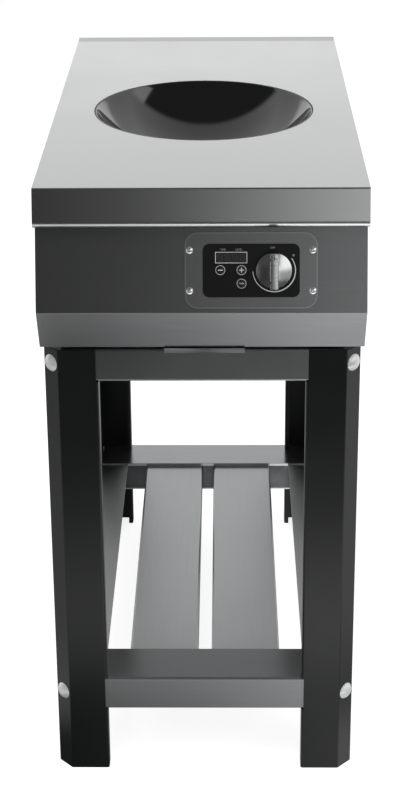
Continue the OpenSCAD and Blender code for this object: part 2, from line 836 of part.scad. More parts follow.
// Stand: legs folded from sheet, drawn with the outer corner at the local origin
notch_gap = 0.5;
bolt_fit = 0.2;
leg_path = [[leg_return, leg_reach - leg_lip], [leg_return, leg_reach], [0, leg_reach], [0, leg_chamfer],
    [leg_chamfer, 0], [leg_reach, 0], [leg_reach, leg_return], [leg_reach - leg_lip, leg_return]];
module flip_x(on) {
    if (on) mirror([1, 0, 0]) children();
    else children();
}
module flip_y(on) {
    if (on) mirror([0, 1, 0]) children();
    else children();
}
module at_corner(right, rear) {
    translate([0, stand_mid, 0]) flip_x(right) flip_y(rear)
        translate([-stand_w / 2, -stand_d / 2, 0]) children();
}
module on_chamfer(z) {
    translate([leg_chamfer / 2, leg_chamfer / 2, z]) rotate([0, 0, 45]) rotate([0, 90, 0]) children();
}
module return_notch(row) {
    low = row[0] - row[1] - notch_gap;
    high = row[0] + notch_gap;
    block([leg_reach - leg_t - bend_r, -over, low], [leg_reach + over, leg_return + over, high]);
    block([leg_reach - leg_lip - over, leg_return - leg_t - over, low],
        [leg_reach + over, leg_return + over, high]);
}
module leg() {
    difference() {
        linear_extrude(leg_h) polygon(folded(leg_path, leg_t));
        for (row = rail_rows) {
            return_notch(row);
            mirror([1, -1, 0]) return_notch(row);
            on_chamfer(row[2]) rod(bolt_r + bolt_fit, -leg_t, 2 * leg_t);
        }
    }
}
module front_left_leg() {
    placed() color(black_coat) at_corner(false, false) leg();
}
module front_right_leg() {
    placed() color(black_coat) at_corner(true, false) leg();
}
module rear_left_leg() {
    placed() color(black_coat) at_corner(false, true) leg();
}
module rear_right_leg() {
    placed() color(black_coat) at_corner(true, true) leg();
}

// Rails: channels whose webs are folded round behind the legs' chamfers, where the bolts hold them
// A row of the stand gives the height of its rails' top, their height and the height of their bolts
tab_run = 15;
chamfer_line = leg_chamfer + leg_t * sqrt(2);
edge = bend_r + rail_t;
rail_end = chamfer_line - leg_t + edge;
side_line = chamfer_line + rail_t * sqrt(2);
side_end = side_line - leg_t + edge;
lip_w = stand_w - 2 * (leg_t + side_flange + fit);
function channel(top, low, z, h) = [[top, z], [0, z], [0, z - h], [low, z - h]];
module tab(line, z, h, bolt_z) {
    corner = [line - leg_t, leg_t];
    tab_path = [corner + [-tab_run, tab_run], corner, corner + [tab_run, 0]];
    difference() {
        translate([0, 0, z - h + edge]) linear_extrude(h - 2 * edge) polygon(folded(tab_path, rail_t));
        on_chamfer(bolt_z) rod(bolt_r + bolt_fit, 0, leg_reach);
    }
}
module cross_rail(row) {
    translate([0, stand_setback + leg_t, 0]) {
        along_x(stand_w - 2 * rail_end)
            polygon(folded(channel(rail_flange, rail_flange, row[0], row[1]), rail_t));
        block([-lip_w / 2, rail_flange - rail_t, row[0] - rail_lip], [lip_w / 2, rail_flange, row[0]]);
    }
    for (right = [false, true])
        at_corner(right, false) tab(chamfer_line, row[0], row[1], row[2]);
}
module rear_rail(row) {
    translate([0, 2 * stand_mid, 0]) mirror([0, 1, 0]) cross_rail(row);
}
module side_rail(row) {
    z = row[0] - rail_t;
    nest_h = row[1] - 2 * rail_t;
    translate([-stand_w / 2 + leg_t, 0, 0])
        along_y(stand_setback + side_end, stand_setback + stand_d - side_end)
            polygon(folded(channel(side_flange, side_ledge, z, nest_h), rail_t));
    for (rear = [false, true])
        at_corner(false, rear) mirror([1, -1, 0]) tab(side_line, z, nest_h, row[2]);
}
module upper_front_rail() {
    placed() color(grey_steel) cross_rail(rail_rows[0]);
}
module upper_rear_rail() {
    placed() color(grey_steel) rear_rail(rail_rows[0]);
}
module upper_left_rail() {
    placed() color(grey_steel) side_rail(rail_rows[0]);
}
module upper_right_rail() {
    placed() color(grey_steel) mirror([1, 0, 0]) side_rail(rail_rows[0]);
}
module shelf_front_rail() {
    placed() color(steel) cross_rail(rail_rows[1]);
}
module shelf_rear_rail() {
    placed() color(steel) rear_rail(rail_rows[1]);
}
module shelf_left_rail() {
    placed() color(steel) side_rail(rail_rows[1]);
}
module shelf_right_rail() {
    placed() color(steel) mirror([1, 0, 0]) side_rail(rail_rows[1]);
}
slat_z = shelf_h - rail_lip - fit;
slat_low = shelf_h - shelf_rail_h + rail_t;
slat_path = [[slat_w / 2, slat_low], [slat_w / 2, slat_z], [-slat_w / 2, slat_z], [-slat_w / 2, slat_low]];
slat_in = rail_in + bend_r + fit;
module slat(side) {
    translate([side * (slat_w + slat_gap) / 2, 0, 0])
        along_y(stand_setback + slat_in, stand_setback + stand_d - slat_in)
            polygon(folded(slat_path, rail_t));
}
module left_slat() {
    placed() color(steel) slat(-1);
}
module right_slat() {
    placed() color(steel) slat(1);
}

// Bolts through the chamfers, with a washer and nut inside each corner
bolt_head_h = 5.5;
washer_t = 2;
washer_r = 9.5;
nut_hex = 16;
nut_h = 8;
grip = leg_t + 2 * rail_t;
module at_bolts() {
    for (right = [false, true], rear = [false, true], row = rail_rows)
        at_corner(right, rear) on_chamfer(row[2]) children();
}
module leg_bolts() {
    placed() color(zinc) at_bolts() {
        mirror([0, 0, 1]) dome_head(bolt_head_r, bolt_head_h);
        rod(bolt_r, 0, grip + washer_t + nut_h + rail_t);
    }
}
module leg_washers() {
    placed() color(zinc) at_bolts() tube(washer_r, bolt_r + bolt_fit, grip, grip + washer_t);
}
module leg_nuts() {
    placed() color(zinc) at_bolts() difference() {
        hex(nut_hex, grip + washer_t, grip + washer_t + nut_h);
        rod(bolt_r, grip, grip + washer_t + nut_h + over);
    }
}

worktop();
bowl_seal();
wok_bowl();
bowl_ring();
front_panel();
left_side();
right_side();
rear_panel();
rear_panel_screws();
base_plate();
housing_feet();
control_plate();
control_plate_screws();
control_overlay();
display_window();
minus_key();
plus_key();
timer_key();
key_switches();
knob();
control_shaft();
potentiometer();
potentiometer_nut();
control_board();
board_standoffs();
induction_coil();
coil_carrier();
coil_posts();
ferrite_bars();
temperature_probe();
generator_board();
generator_standoffs();
heat_sink();
capacitors();
fan_frame();
fan_rotor();
terminal_block();
cable_gland();
gland_nut();
filter_frame();
filter_mesh();
filter_runners();
front_left_leg();
front_right_leg();
rear_left_leg();
rear_right_leg();
upper_front_rail();
upper_rear_rail();
upper_left_rail();
upper_right_rail();
shelf_front_rail();
shelf_rear_rail();
shelf_left_rail();
shelf_right_rail();
left_slat();
right_slat();
leg_bolts();
leg_nuts();
leg_washers();
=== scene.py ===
# %% [markdown]
# # An induction wok cooker on its stand
# A steel worktop with a black glass bowl sits on a folded housing, and the housing stands on
# four black legs joined by rails, with a slatted shelf below. The folded sheets come from the
# solid model and only need their finishes. What is turned, moulded, printed or woven is
# modelled here, because its roundness and lettering are what the eye stops at.

# %% Load the frame
import math
import bpy
from mathutils import Matrix, Vector


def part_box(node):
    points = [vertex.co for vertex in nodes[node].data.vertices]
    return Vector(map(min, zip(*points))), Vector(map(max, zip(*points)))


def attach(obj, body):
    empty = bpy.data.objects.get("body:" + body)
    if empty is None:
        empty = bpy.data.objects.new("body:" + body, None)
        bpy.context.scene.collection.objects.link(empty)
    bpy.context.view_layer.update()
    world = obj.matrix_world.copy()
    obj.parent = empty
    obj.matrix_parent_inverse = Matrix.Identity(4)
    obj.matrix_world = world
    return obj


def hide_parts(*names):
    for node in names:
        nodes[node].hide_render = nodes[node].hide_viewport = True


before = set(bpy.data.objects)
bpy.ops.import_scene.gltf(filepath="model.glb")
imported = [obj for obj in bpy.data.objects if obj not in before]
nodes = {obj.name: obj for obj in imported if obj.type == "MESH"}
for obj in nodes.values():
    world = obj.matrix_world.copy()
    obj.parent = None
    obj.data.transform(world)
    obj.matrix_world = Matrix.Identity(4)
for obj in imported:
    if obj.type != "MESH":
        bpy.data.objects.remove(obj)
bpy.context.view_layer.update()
scene = bpy.context.scene
scene.view_settings.view_transform = "Standard"
MM = 0.001

# %% [markdown]
# ## Camera
# The picture was taken from a little right of the middle, above the worktop, with the frame
# slid down below the line of sight. The place, the turn and the lens were solved from the
# straight edges of the worktop and the legs. A downward shift keeps the uprights from leaning.

# %% Set the camera
CAMERA_AT = (27.6 * MM, -2326.8 * MM, 1473.3 * MM)
PITCH = 0.3505
YAW = -0.0141
ROLL = -0.0071
ahead = Vector((math.sin(YAW) * math.cos(PITCH), math.cos(YAW) * math.cos(PITCH), -math.sin(PITCH)))
level = Vector((math.cos(YAW), -math.sin(YAW), 0.0))
rise = level.cross(ahead)
right = math.cos(ROLL) * level + math.sin(ROLL) * rise
top = math.cos(ROLL) * rise - math.sin(ROLL) * level
camera = bpy.data.objects.new("camera", bpy.data.cameras.new("camera"))
scene.collection.objects.link(camera)
camera.matrix_world = Matrix.Translation(CAMERA_AT) @ Matrix((right, top, -ahead)).transposed().to_4x4()
camera.data.sensor_width = 36.0
camera.data.lens = 79.39
camera.data.shift_y = -0.2
camera.data.clip_end = 60.0
scene.camera = camera
print("camera height", round(CAMERA_AT[2], 3), "lens", camera.data.lens)

# %% [markdown]
# ## Nodes and colours
# Every finish below is a small tree of nodes. One function adds a node, fills in its settings
# and joins its inputs. A second turns the hex values of a colour picker into the linear values
# that the shader works in.

# %% Two small helpers
def add(tree, kind, settings=None, links=None):
    """Add a node. Settings fill its properties or sockets, links join its inputs to sources."""
    made = tree.nodes.new(kind)
    for key, value in (settings or {}).items():
        if isinstance(key, str) and hasattr(made, key):
            setattr(made, key, value)
        else:
            made.inputs[key].default_value = value
    for key, source in (links or {}).items():
        tree.links.new(source, made.inputs[key])
    return made


def linear(code):
    """The linear colour of an sRGB hex value."""
    parts = [int(code[i:i + 2], 16) / 255 for i in (1, 3, 5)]
    return tuple(c / 12.92 if c <= 0.04045 else ((c + 0.055) / 1.055) ** 2.4 for c in parts) + (1.0,)


print("mid grey is", [round(c, 3) for c in linear("#808080")])

# %% [markdown]
# ## Studio
# Steel shows what is round it, so the room matters more than the lamps. In the picture the
# steel that faces back is bright and the steel that faces the camera is dark on the left and
# lighter on the right. The sky of this scene is a white sheet behind and overhead, a dark room
# in front with a dark ceiling, and a soft white screen at the right that stops a little above
# the horizon. It could be built from real boards, but a sky drawn by direction is quicker to
# tune. First come its masks: each is 0 or 1 over a part of the sky, with a soft edge between.

# %% Divide the sky
studio = bpy.data.worlds.new("studio")
scene.world = studio
studio.use_nodes = True
sky = studio.node_tree
sky.nodes.clear()
way = add(sky, "ShaderNodeTexCoord")
part = add(sky, "ShaderNodeSeparateXYZ", links={"Vector": way.outputs["Generated"]})
across = add(sky, "ShaderNodeMapRange", {"From Min": -1.0, "From Max": 1.0}, {"Value": part.outputs["X"]})
behind = add(sky, "ShaderNodeMapRange",
             {"interpolation_type": "SMOOTHSTEP", "From Min": 0.04, "From Max": 0.16},
             {"Value": part.outputs["Y"]})
screen_up = add(sky, "ShaderNodeMapRange",
                {"interpolation_type": "SMOOTHSTEP", "From Min": 0.1, "From Max": 0.22},
                {"Value": part.outputs["Z"]})
print("sky nodes", len(sky.nodes))

# %% [markdown]
# ## Ceiling
# The dark ceiling is what the far wall of the bowl mirrors. Its edge runs askew, so the dark
# patch in the bowl has a slanting left end. Towards the camera the ceiling is narrower, which
# leaves the white screen free for the knob.

# %% Hang the ceiling
NARROW_REACH = 0.25
above = add(sky, "ShaderNodeMapRange",
            {"interpolation_type": "SMOOTHSTEP", "From Min": 0.22, "From Max": 0.42},
            {"Value": part.outputs["Z"]})
high_reach = add(sky, "ShaderNodeMapRange",
                 {"From Min": 0.6, "From Max": 0.75, "To Min": 0.6, "To Max": 0.74},
                 {"Value": part.outputs["Z"]})
near_top = add(sky, "ShaderNodeMapRange",
               {"interpolation_type": "SMOOTHSTEP", "From Min": -0.7, "From Max": -0.55},
               {"Value": part.outputs["Y"]})
reach = add(sky, "ShaderNodeMix", {"data_type": "FLOAT", 2: NARROW_REACH},
            {0: near_top.outputs["Result"], 3: high_reach.outputs["Result"]})
beside = add(sky, "ShaderNodeMath", {"operation": "SUBTRACT"}, {0: reach.outputs[0], 1: part.outputs["X"]})
inboard = add(sky, "ShaderNodeMapRange",
              {"interpolation_type": "SMOOTHSTEP", "From Min": -0.03, "From Max": 0.03},
              {"Value": beside.outputs["Value"]})
overhead = add(sky, "ShaderNodeMath", {"operation": "MULTIPLY"},
               {0: above.outputs["Result"], 1: inboard.outputs["Result"]})
print("sky nodes", len(sky.nodes))

# %% [markdown]
# ## Tones of the room
# One ramp gives the room's tone from left to right, a second the same below the screen, and a
# third the white sheet's tone by height. The masks mix them. Only mirror rays see the result:
# the camera sees plain white, and matt surfaces get an even grey light.

# %% Tone the sky
def tone_ramp(tree, stops, source):
    """A ramp of grey tones from (place, tone) pairs."""
    ramp = add(tree, "ShaderNodeValToRGB", links={"Fac": source})
    marks = ramp.color_ramp.elements
    while len(marks) < len(stops):
        marks.new(0.5)
    for mark, (place, tone) in zip(marks, stops):
        mark.position = place
        mark.color = (tone, tone, tone, 1.0)
    return ramp


ROOM_TONES = ((0.0, 0.5), (0.15, 0.3), (0.27, 0.035), (0.44, 0.04), (0.475, 0.09), (0.5, 0.22),
              (0.525, 0.48), (0.55, 0.8), (0.65, 1.4))
LOW_TONES = ROOM_TONES[:8] + ((0.59, 0.85), (0.65, 0.42))
SHEET_TONES = ((0.0, 1.3), (0.21, 1.5), (0.25, 1.2), (0.29, 0.72), (0.42, 0.76), (0.58, 0.92),
               (0.8, 0.7), (1.0, 0.5))
CEILING = (0.07, 0.07, 0.07, 1.0)
EVEN_GREY = (0.5, 0.5, 0.5, 1.0)
PLAIN_WHITE = (1.0, 1.0, 1.0, 1.0)
room = tone_ramp(sky, ROOM_TONES, across.outputs["Result"])
low_room = tone_ramp(sky, LOW_TONES, across.outputs["Result"])
sheet = tone_ramp(sky, SHEET_TONES, part.outputs["Z"])
walls = add(sky, "ShaderNodeMix", {"data_type": "RGBA"},
            {0: screen_up.outputs["Result"], 6: low_room.outputs["Color"], 7: room.outputs["Color"]})
front = add(sky, "ShaderNodeMix", {"data_type": "RGBA", 7: CEILING},
            {0: overhead.outputs["Value"], 6: walls.outputs[2]})
mirrored = add(sky, "ShaderNodeMix", {"data_type": "RGBA"},
               {0: behind.outputs["Result"], 6: front.outputs[2], 7: sheet.outputs["Color"]})
path = add(sky, "ShaderNodeLightPath")
shiny = add(sky, "ShaderNodeMath", {"operation": "MAXIMUM"},
            {0: path.outputs["Is Glossy Ray"], 1: path.outputs["Is Transmission Ray"]})
lit = add(sky, "ShaderNodeMix", {"data_type": "RGBA", 6: EVEN_GREY},
          {0: shiny.outputs["Value"], 7: mirrored.outputs[2]})
seen = add(sky, "ShaderNodeMix", {"data_type": "RGBA", 7: PLAIN_WHITE},
           {0: path.outputs["Is Camera Ray"], 6: lit.outputs[2]})
glow = add(sky, "ShaderNodeBackground", links={"Color": seen.outputs[2]})
add(sky, "ShaderNodeOutputWorld", links={"Surface": glow.outputs["Background"]})
print("room tones", len(ROOM_TONES), "low tones", len(LOW_TONES), "sheet tones", len(SHEET_TONES))

# %% [markdown]
# ## Floor
# The floor is a pale sheet of paper under the stand. It is white to the camera apart from the
# soft shadow that it keeps, and it fades into the white sky at its rim, so no edge shows. To
# the steel it is shaded close to the stand, bright an arm's length away and dark beyond that,
# where the rolled edge of the worktop mirrors it as a bright line under a dark one.

# %% Lay the floor
FLOOR_R = 4.0
FLOOR_AT = (0.0, 0.6, 0.0)
bpy.ops.object.select_all(action="DESELECT")
bpy.ops.mesh.primitive_circle_add(vertices=96, radius=FLOOR_R, fill_type="NGON", location=FLOOR_AT)
floor = bpy.context.object
floor.name = "floor"
bpy.ops.object.transform_apply(location=True)
print("floor radius", FLOOR_R)

# %% Tone the floor for the steel
NEAR_TONES = ((0.0, 0.6), (0.3, 0.65), (0.37, 0.9), (0.4, 0.1), (0.43, 0.1), (0.5, 0.46), (0.57, 1.12),
              (0.6, 1.12), (0.64, 0.5), (0.72, 1.0), (1.0, 1.2))
BRIGHT_TONES = ((0.0, 0.95), (0.4, 1.2), (0.5, 1.75), (0.6, 2.25), (1.0, 1.1))
paper = bpy.data.materials.new("white paper floor")
paper.use_nodes = True
tree = paper.node_tree
tree.nodes.clear()
spot = add(tree, "ShaderNodeTexCoord")
place = add(tree, "ShaderNodeSeparateXYZ", links={"Vector": spot.outputs["Object"]})
wide = add(tree, "ShaderNodeMapRange", {"From Min": -1.25, "From Max": 1.25}, {"Value": place.outputs["X"]})
shaded = tone_ramp(tree, NEAR_TONES, wide.outputs["Result"])
bright = tone_ramp(tree, BRIGHT_TONES, wide.outputs["Result"])
outward = add(tree, "ShaderNodeMapRange",
              {"interpolation_type": "SMOOTHSTEP", "From Min": -0.53, "From Max": -0.67},
              {"Value": place.outputs["Y"]})
tone = add(tree, "ShaderNodeMix", {"data_type": "RGBA"},
           {0: outward.outputs["Result"], 6: shaded.outputs["Color"], 7: bright.outputs["Color"]})
forward = add(tree, "ShaderNodeMapRange",
              {"interpolation_type": "SMOOTHSTEP", "From Min": -1.10, "From Max": -0.83, "To Min": 0.05},
              {"Value": place.outputs["Y"]})
grey = add(tree, "ShaderNodeEmission",
           links={"Color": tone.outputs[2], "Strength": forward.outputs["Result"]})
print("near tones", len(NEAR_TONES), "bright tones", len(BRIGHT_TONES))

# %% Whiten the floor for the camera
far = add(tree, "ShaderNodeVectorMath", {"operation": "DISTANCE", 1: FLOOR_AT}, {0: spot.outputs["Object"]})
fade = add(tree, "ShaderNodeMapRange",
           {"interpolation_type": "SMOOTHSTEP", "From Min": 1.2, "From Max": 3.6},
           {"Value": far.outputs["Value"]})
matt = add(tree, "ShaderNodeBsdfDiffuse", {"Color": linear("#c8c8c8")})
white = add(tree, "ShaderNodeEmission", {"Strength": 0.84})
pale = add(tree, "ShaderNodeAddShader", links={0: matt.outputs["BSDF"], 1: white.outputs["Emission"]})
open_air = add(tree, "ShaderNodeBsdfTransparent")
path = add(tree, "ShaderNodeLightPath")
seen = add(tree, "ShaderNodeMixShader",
           links={0: fade.outputs["Result"], 1: pale.outputs["Shader"], 2: open_air.outputs["BSDF"]})
kept = add(tree, "ShaderNodeMixShader",
           links={0: path.outputs["Is Camera Ray"], 1: matt.outputs["BSDF"], 2: seen.outputs["Shader"]})
both = add(tree, "ShaderNodeMixShader",
           links={0: path.outputs["Is Glossy Ray"], 1: kept.outputs["Shader"], 2: grey.outputs["Emission"]})
add(tree, "ShaderNodeOutputMaterial", links={"Surface": both.outputs["Shader"]})
floor.data.materials.append(paper)
print("floor nodes", len(tree.nodes))

# %% [markdown]
# ## Lamps
# One wide lamp above and one at the right give the matt parts their shape. Mirror rays pass
# through them, so they leave no patch on the steel.

# %% Hang the lamps
def hang_lamp(name, at, aim, size, watts):
    """A square soft lamp that looks at a point."""
    bpy.ops.object.light_add(type="AREA", location=at)
    lamp = bpy.context.object
    lamp.name = name
    lamp.data.size = size
    lamp.data.energy = watts
    lamp.rotation_euler = (Vector(aim) - Vector(at)).to_track_quat("-Z", "Y").to_euler()
    lamp.visible_glossy = False
    return lamp


lamps = [hang_lamp("wide lamp", (-0.6, -0.8, 3.2), (0.0, 0.0, 0.4), 2.4, 45.0),
         hang_lamp("side lamp", (2.6, -1.6, 1.8), (0.0, 0.0, 0.5), 1.6, 22.0)]
print("lamps", [lamp.name for lamp in lamps])

# %% [markdown]
# ## Stainless steel
# The sheets are stainless steel, ground with a belt. The belt leaves fine parallel scratches
# about 0.1 mm apart, which blur what the steel mirrors along one line. At this picture's scale
# a scratch is too fine to show, so the grain is drawn about 1.5 mm wide and faint. A second,
# slow pattern gives the cloudy patches of handled steel. Where a film of grease dulls a sheet,
# it is a little less metallic.

# %% Grind the steel
def ground_steel(name, code, roughness, along, contrast=0.10, streak=1.5, stretch_share=0.8, metallic=1.0):
    """Brushed steel. Its scratches run along one axis and stretch its highlights across them."""
    finish = bpy.data.materials.new(name)
    finish.use_nodes = True
    tree = finish.node_tree
    shader = tree.nodes["Principled BSDF"]
    shader.inputs["Metallic"].default_value = metallic
    shader.inputs["Anisotropic"].default_value = stretch_share
    around = add(tree, "ShaderNodeTangent", {"direction_type": "RADIAL", "axis": along})
    tree.links.new(around.outputs["Tangent"], shader.inputs["Tangent"])
    across = 1.0 / (streak * MM)
    stretch = [across, across, across]
    stretch["XYZ".index(along)] = 1.0 / (90.0 * MM)
    spot = add(tree, "ShaderNodeTexCoord")
    line = add(tree, "ShaderNodeMapping", {"Scale": stretch}, {"Vector": spot.outputs["Object"]})
    scratch = add(tree, "ShaderNodeTexNoise", {"Scale": 1.0, "Detail": 3.0, "Roughness": 0.6},
                  {"Vector": line.outputs["Vector"]})
    cloud = add(tree, "ShaderNodeTexNoise", {"Scale": 1.0 / (140.0 * MM), "Detail": 2.0},
                {"Vector": spot.outputs["Object"]})
    dark = tuple(c * (1.0 - contrast) for c in linear(code)[:3]) + (1.0,)
    light = tuple(min(1.0, c * (1.0 + contrast)) for c in linear(code)[:3]) + (1.0,)
    tone = add(tree, "ShaderNodeMix", {"data_type": "RGBA", 6: dark, 7: light}, {0: scratch.outputs["Fac"]})
    rough = add(tree, "ShaderNodeMapRange", {"To Min": roughness - 0.04, "To Max": roughness + 0.04},
                {"Value": cloud.outputs["Fac"]})
    bump = add(tree, "ShaderNodeBump", {"Strength": 0.06, "Distance": 0.05 * MM},
               {"Height": scratch.outputs["Fac"]})
    tree.links.new(tone.outputs[2], shader.inputs["Base Color"])
    tree.links.new(rough.outputs["Result"], shader.inputs["Roughness"])
    tree.links.new(bump.outputs["Normal"], shader.inputs["Normal"])
    return finish


worktop_steel = ground_steel("brushed stainless worktop", "#c5c6c6", 0.18, "X", 0.04)
panel_steel = ground_steel("dull brushed stainless panel", "#818283", 0.22, "X", 0.16, metallic=0.90)
plate_steel = ground_steel("brushed stainless plate", "#88898a", 0.24, "X", 0.12, metallic=0.86)
side_steel = ground_steel("brushed stainless side", "#c0c1c2", 0.28, "Y", 0.10)
rail_steel = ground_steel("brushed stainless rail", "#98999a", 0.22, "X", 0.08)
low_rail_steel = ground_steel("dull stainless shelf rail", "#808182", 0.24, "X", 0.08, metallic=0.68)
shelf_steel = ground_steel("brushed stainless shelf", "#a8a9aa", 0.26, "X", 0.08)
rear_rail_steel = ground_steel("brushed stainless rear rail", "#a8a9aa", 0.26, "X", 0.08)
slat_steel = ground_steel("brushed stainless slat", "#a9aaab", 0.30, "Y", 0.08)
inner_steel = ground_steel("mill finish steel", "#9fa0a2", 0.40, "Y", 0.10)
print("scratch nodes", len(worktop_steel.node_tree.nodes))

# %% [markdown]
# ## Painted light inside the rear rail
# The shelf's rear rail is a deep fold, and its inside lies in shade under the top flange. The steel inside
# is given a lighter colour, which is painted light that lifts this shade. A mask by height keeps the plain
# tone for the flange on top.

# %% Paint light into the fold
def lighten(finish, mask, code):
    """Mix a lighter steel colour, which is painted light, into a finish where a mask is 1."""
    tree = finish.node_tree
    shader = tree.nodes["Principled BSDF"]
    plain = shader.inputs["Base Color"].links[0].from_socket
    lighter = add(tree, "ShaderNodeMix", {"data_type": "RGBA", 7: linear(code)}, {0: mask, 6: plain})
    tree.links.new(lighter.outputs[2], shader.inputs["Base Color"])


FOLD_TOP = 137.0
tree = rear_rail_steel.node_tree
spot = add(tree, "ShaderNodeTexCoord")
place = add(tree, "ShaderNodeSeparateXYZ", links={"Vector": spot.outputs["Object"]})
# The mask is 1 below the top flange, where the lighter colour is painted light in the shaded fold.
inside = add(tree, "ShaderNodeMapRange",
             {"From Min": (FOLD_TOP + 1.0) * MM, "From Max": FOLD_TOP * MM}, {"Value": place.outputs["Z"]})
lighten(rear_rail_steel, inside.outputs["Result"], "#dcddde")
print("fold top", FOLD_TOP)

# %% Dress the sheets
def dress(finish, *names):
    """Give solid-model pieces their finish."""
    for name in names:
        nodes[name].data.materials.clear()
        nodes[name].data.materials.append(finish)


dress(worktop_steel, "worktop")
dress(panel_steel, "front_panel", "rear_panel")
dress(plate_steel, "control_plate")
dress(side_steel, "left_side", "right_side")
dress(rail_steel, "upper_front_rail")
dress(low_rail_steel, "shelf_front_rail")
dress(shelf_steel, "upper_rear_rail")
dress(rear_rail_steel, "shelf_rear_rail")
dress(slat_steel, "upper_left_rail", "upper_right_rail", "shelf_left_rail", "shelf_right_rail",
      "left_slat", "right_slat")
dress(inner_steel, "base_plate", "bowl_ring", "filter_frame")
print("dressed worktop in", nodes["worktop"].data.materials[0].name)

# %% [markdown]
# ## Powder coat
# The legs are black. Powder is sprayed on and baked until it flows into a skin, which never
# quite levels: it keeps a fine orange peel with bumps about 2 mm wide and a soft gloss. The
# coat is a shade paler where dust and hands have dulled it.

# %% Coat the legs
def speckled(name, dark, light, roughness, grit, depth, ior=1.5):
    """A dielectric finish with a fine grit: two close tones, an uneven gloss and a shallow bump."""
    finish = bpy.data.materials.new(name)
    finish.use_nodes = True
    tree = finish.node_tree
    shader = tree.nodes["Principled BSDF"]
    shader.inputs["IOR"].default_value = ior
    spot = add(tree, "ShaderNodeTexCoord")
    peel = add(tree, "ShaderNodeTexNoise", {"Scale": 1.0 / (grit * MM), "Detail": 2.0},
               {"Vector": spot.outputs["Object"]})
    cloud = add(tree, "ShaderNodeTexNoise", {"Scale": 1.0 / (40.0 * grit * MM), "Detail": 3.0},
                {"Vector": spot.outputs["Object"]})
    tone = add(tree, "ShaderNodeMix", {"data_type": "RGBA", 6: linear(dark), 7: linear(light)},
               {0: cloud.outputs["Fac"]})
    rough = add(tree, "ShaderNodeMapRange", {"To Min": roughness - 0.05, "To Max": roughness + 0.05},
                {"Value": cloud.outputs["Fac"]})
    bump = add(tree, "ShaderNodeBump", {"Strength": 0.25, "Distance": depth * MM},
               {"Height": peel.outputs["Fac"]})
    tree.links.new(tone.outputs[2], shader.inputs["Base Color"])
    tree.links.new(rough.outputs["Result"], shader.inputs["Roughness"])
    tree.links.new(bump.outputs["Normal"], shader.inputs["Normal"])
    return finish


powder_black = speckled("black powder coat", "#121314", "#18191a", 0.30, 2.0, 0.03, 1.36)
LEGS = ("front_left_leg", "front_right_leg", "rear_left_leg", "rear_right_leg")
dress(powder_black, *LEGS)
print("coated legs", len(LEGS))

# %% [markdown]
# ## Parts inside and underneath
# Most of these are never seen, but slots, the drawer and the underside give a glimpse, so each
# gets the finish of the real thing: glass-fibre boards under green lacquer, sawn aluminium,
# moulded nylon and polyester, enamelled copper wire, sintered ferrite and bright zinc plate.

# %% Finish the inner parts
moulded_nylon = speckled("moulded black nylon", "#1a1a1b", "#232324", 0.50, 1.2, 0.04)
cream_polyester = speckled("moulded cream polyester", "#cfc9b4", "#d8d3c2", 0.55, 1.5, 0.04)
board_lacquer = speckled("green board lacquer", "#20502f", "#2a6139", 0.35, 3.0, 0.02)
ferrite = speckled("sintered ferrite", "#2b2b2e", "#39393c", 0.60, 1.0, 0.05)
foot_rubber = speckled("moulded black rubber", "#161616", "#1f1f1f", 0.75, 1.5, 0.06)
sawn_aluminium = ground_steel("sawn aluminium", "#c4c6c8", 0.35, "Y", 0.10)
copper_wire = ground_steel("enamelled copper wire", "#b06a3c", 0.30, "X", 0.20)
zinc_plate = ground_steel("bright zinc plate", "#d2d3d2", 0.20, "Z", 0.06, 0.8)
dress(moulded_nylon, "potentiometer", "key_switches", "capacitors", "fan_frame", "fan_rotor",
      "cable_gland", "gland_nut")
dress(cream_polyester, "coil_carrier", "terminal_block")
dress(board_lacquer, "control_board", "generator_board")
dress(ferrite, "ferrite_bars")
dress(foot_rubber, "housing_feet")
dress(sawn_aluminium, "heat_sink")
dress(copper_wire, "induction_coil")
dress(zinc_plate, "control_shaft", "potentiometer_nut", "board_standoffs", "coil_posts",
      "temperature_probe", "generator_standoffs", "filter_runners", "leg_nuts", "leg_washers")
print("dressed coil in", nodes["induction_coil"].data.materials[0].name)

# %% [markdown]
# ## Working by hand
# Operators act on what is selected, so each piece starts from an empty selection. A turned
# piece is one point drawn out along a profile and spun round Z. A finished piece has its place
# baked into its mesh and rides on the body that carries it.

# %% Tools for new pieces
def begin(name):
    """Name the primitive that was just added and open it in edit mode."""
    piece = bpy.context.object
    piece.name = name
    piece.data.name = name
    bpy.ops.object.mode_set(mode="EDIT")
    bpy.ops.mesh.select_mode(type="VERT")
    bpy.ops.mesh.select_all(action="SELECT")
    return piece


def close(smooth_angle=35.0):
    """Merge doubles, turn the faces outwards, leave edit mode and shade by angle."""
    bpy.ops.mesh.select_all(action="SELECT")
    bpy.ops.mesh.remove_doubles(threshold=1e-6)
    bpy.ops.mesh.normals_make_consistent(inside=False)
    bpy.ops.object.mode_set(mode="OBJECT")
    bpy.ops.object.shade_smooth_by_angle(angle=math.radians(smooth_angle))


def turned(name, profile, count):
    """Draw a point out along (radius, height) pairs in millimetres and spin the line round Z."""
    bpy.ops.object.select_all(action="DESELECT")
    bpy.ops.mesh.primitive_plane_add(size=0.01)
    piece = begin(name)
    bpy.ops.mesh.merge(type="CENTER")
    here = Vector((0.0, 0.0, 0.0))
    for turn, (radius, height) in enumerate(profile):
        there = Vector((radius * MM, 0.0, height * MM))
        if turn == 0:
            bpy.ops.transform.translate(value=there)
        else:
            bpy.ops.mesh.extrude_vertices_move(TRANSFORM_OT_translate={"value": there - here})
        here = there
    bpy.ops.mesh.select_all(action="SELECT")
    bpy.ops.mesh.spin(steps=count, angle=2.0 * math.pi, center=(0.0, 0.0, 0.0), axis=(0.0, 0.0, 1.0))
    close()
    return piece


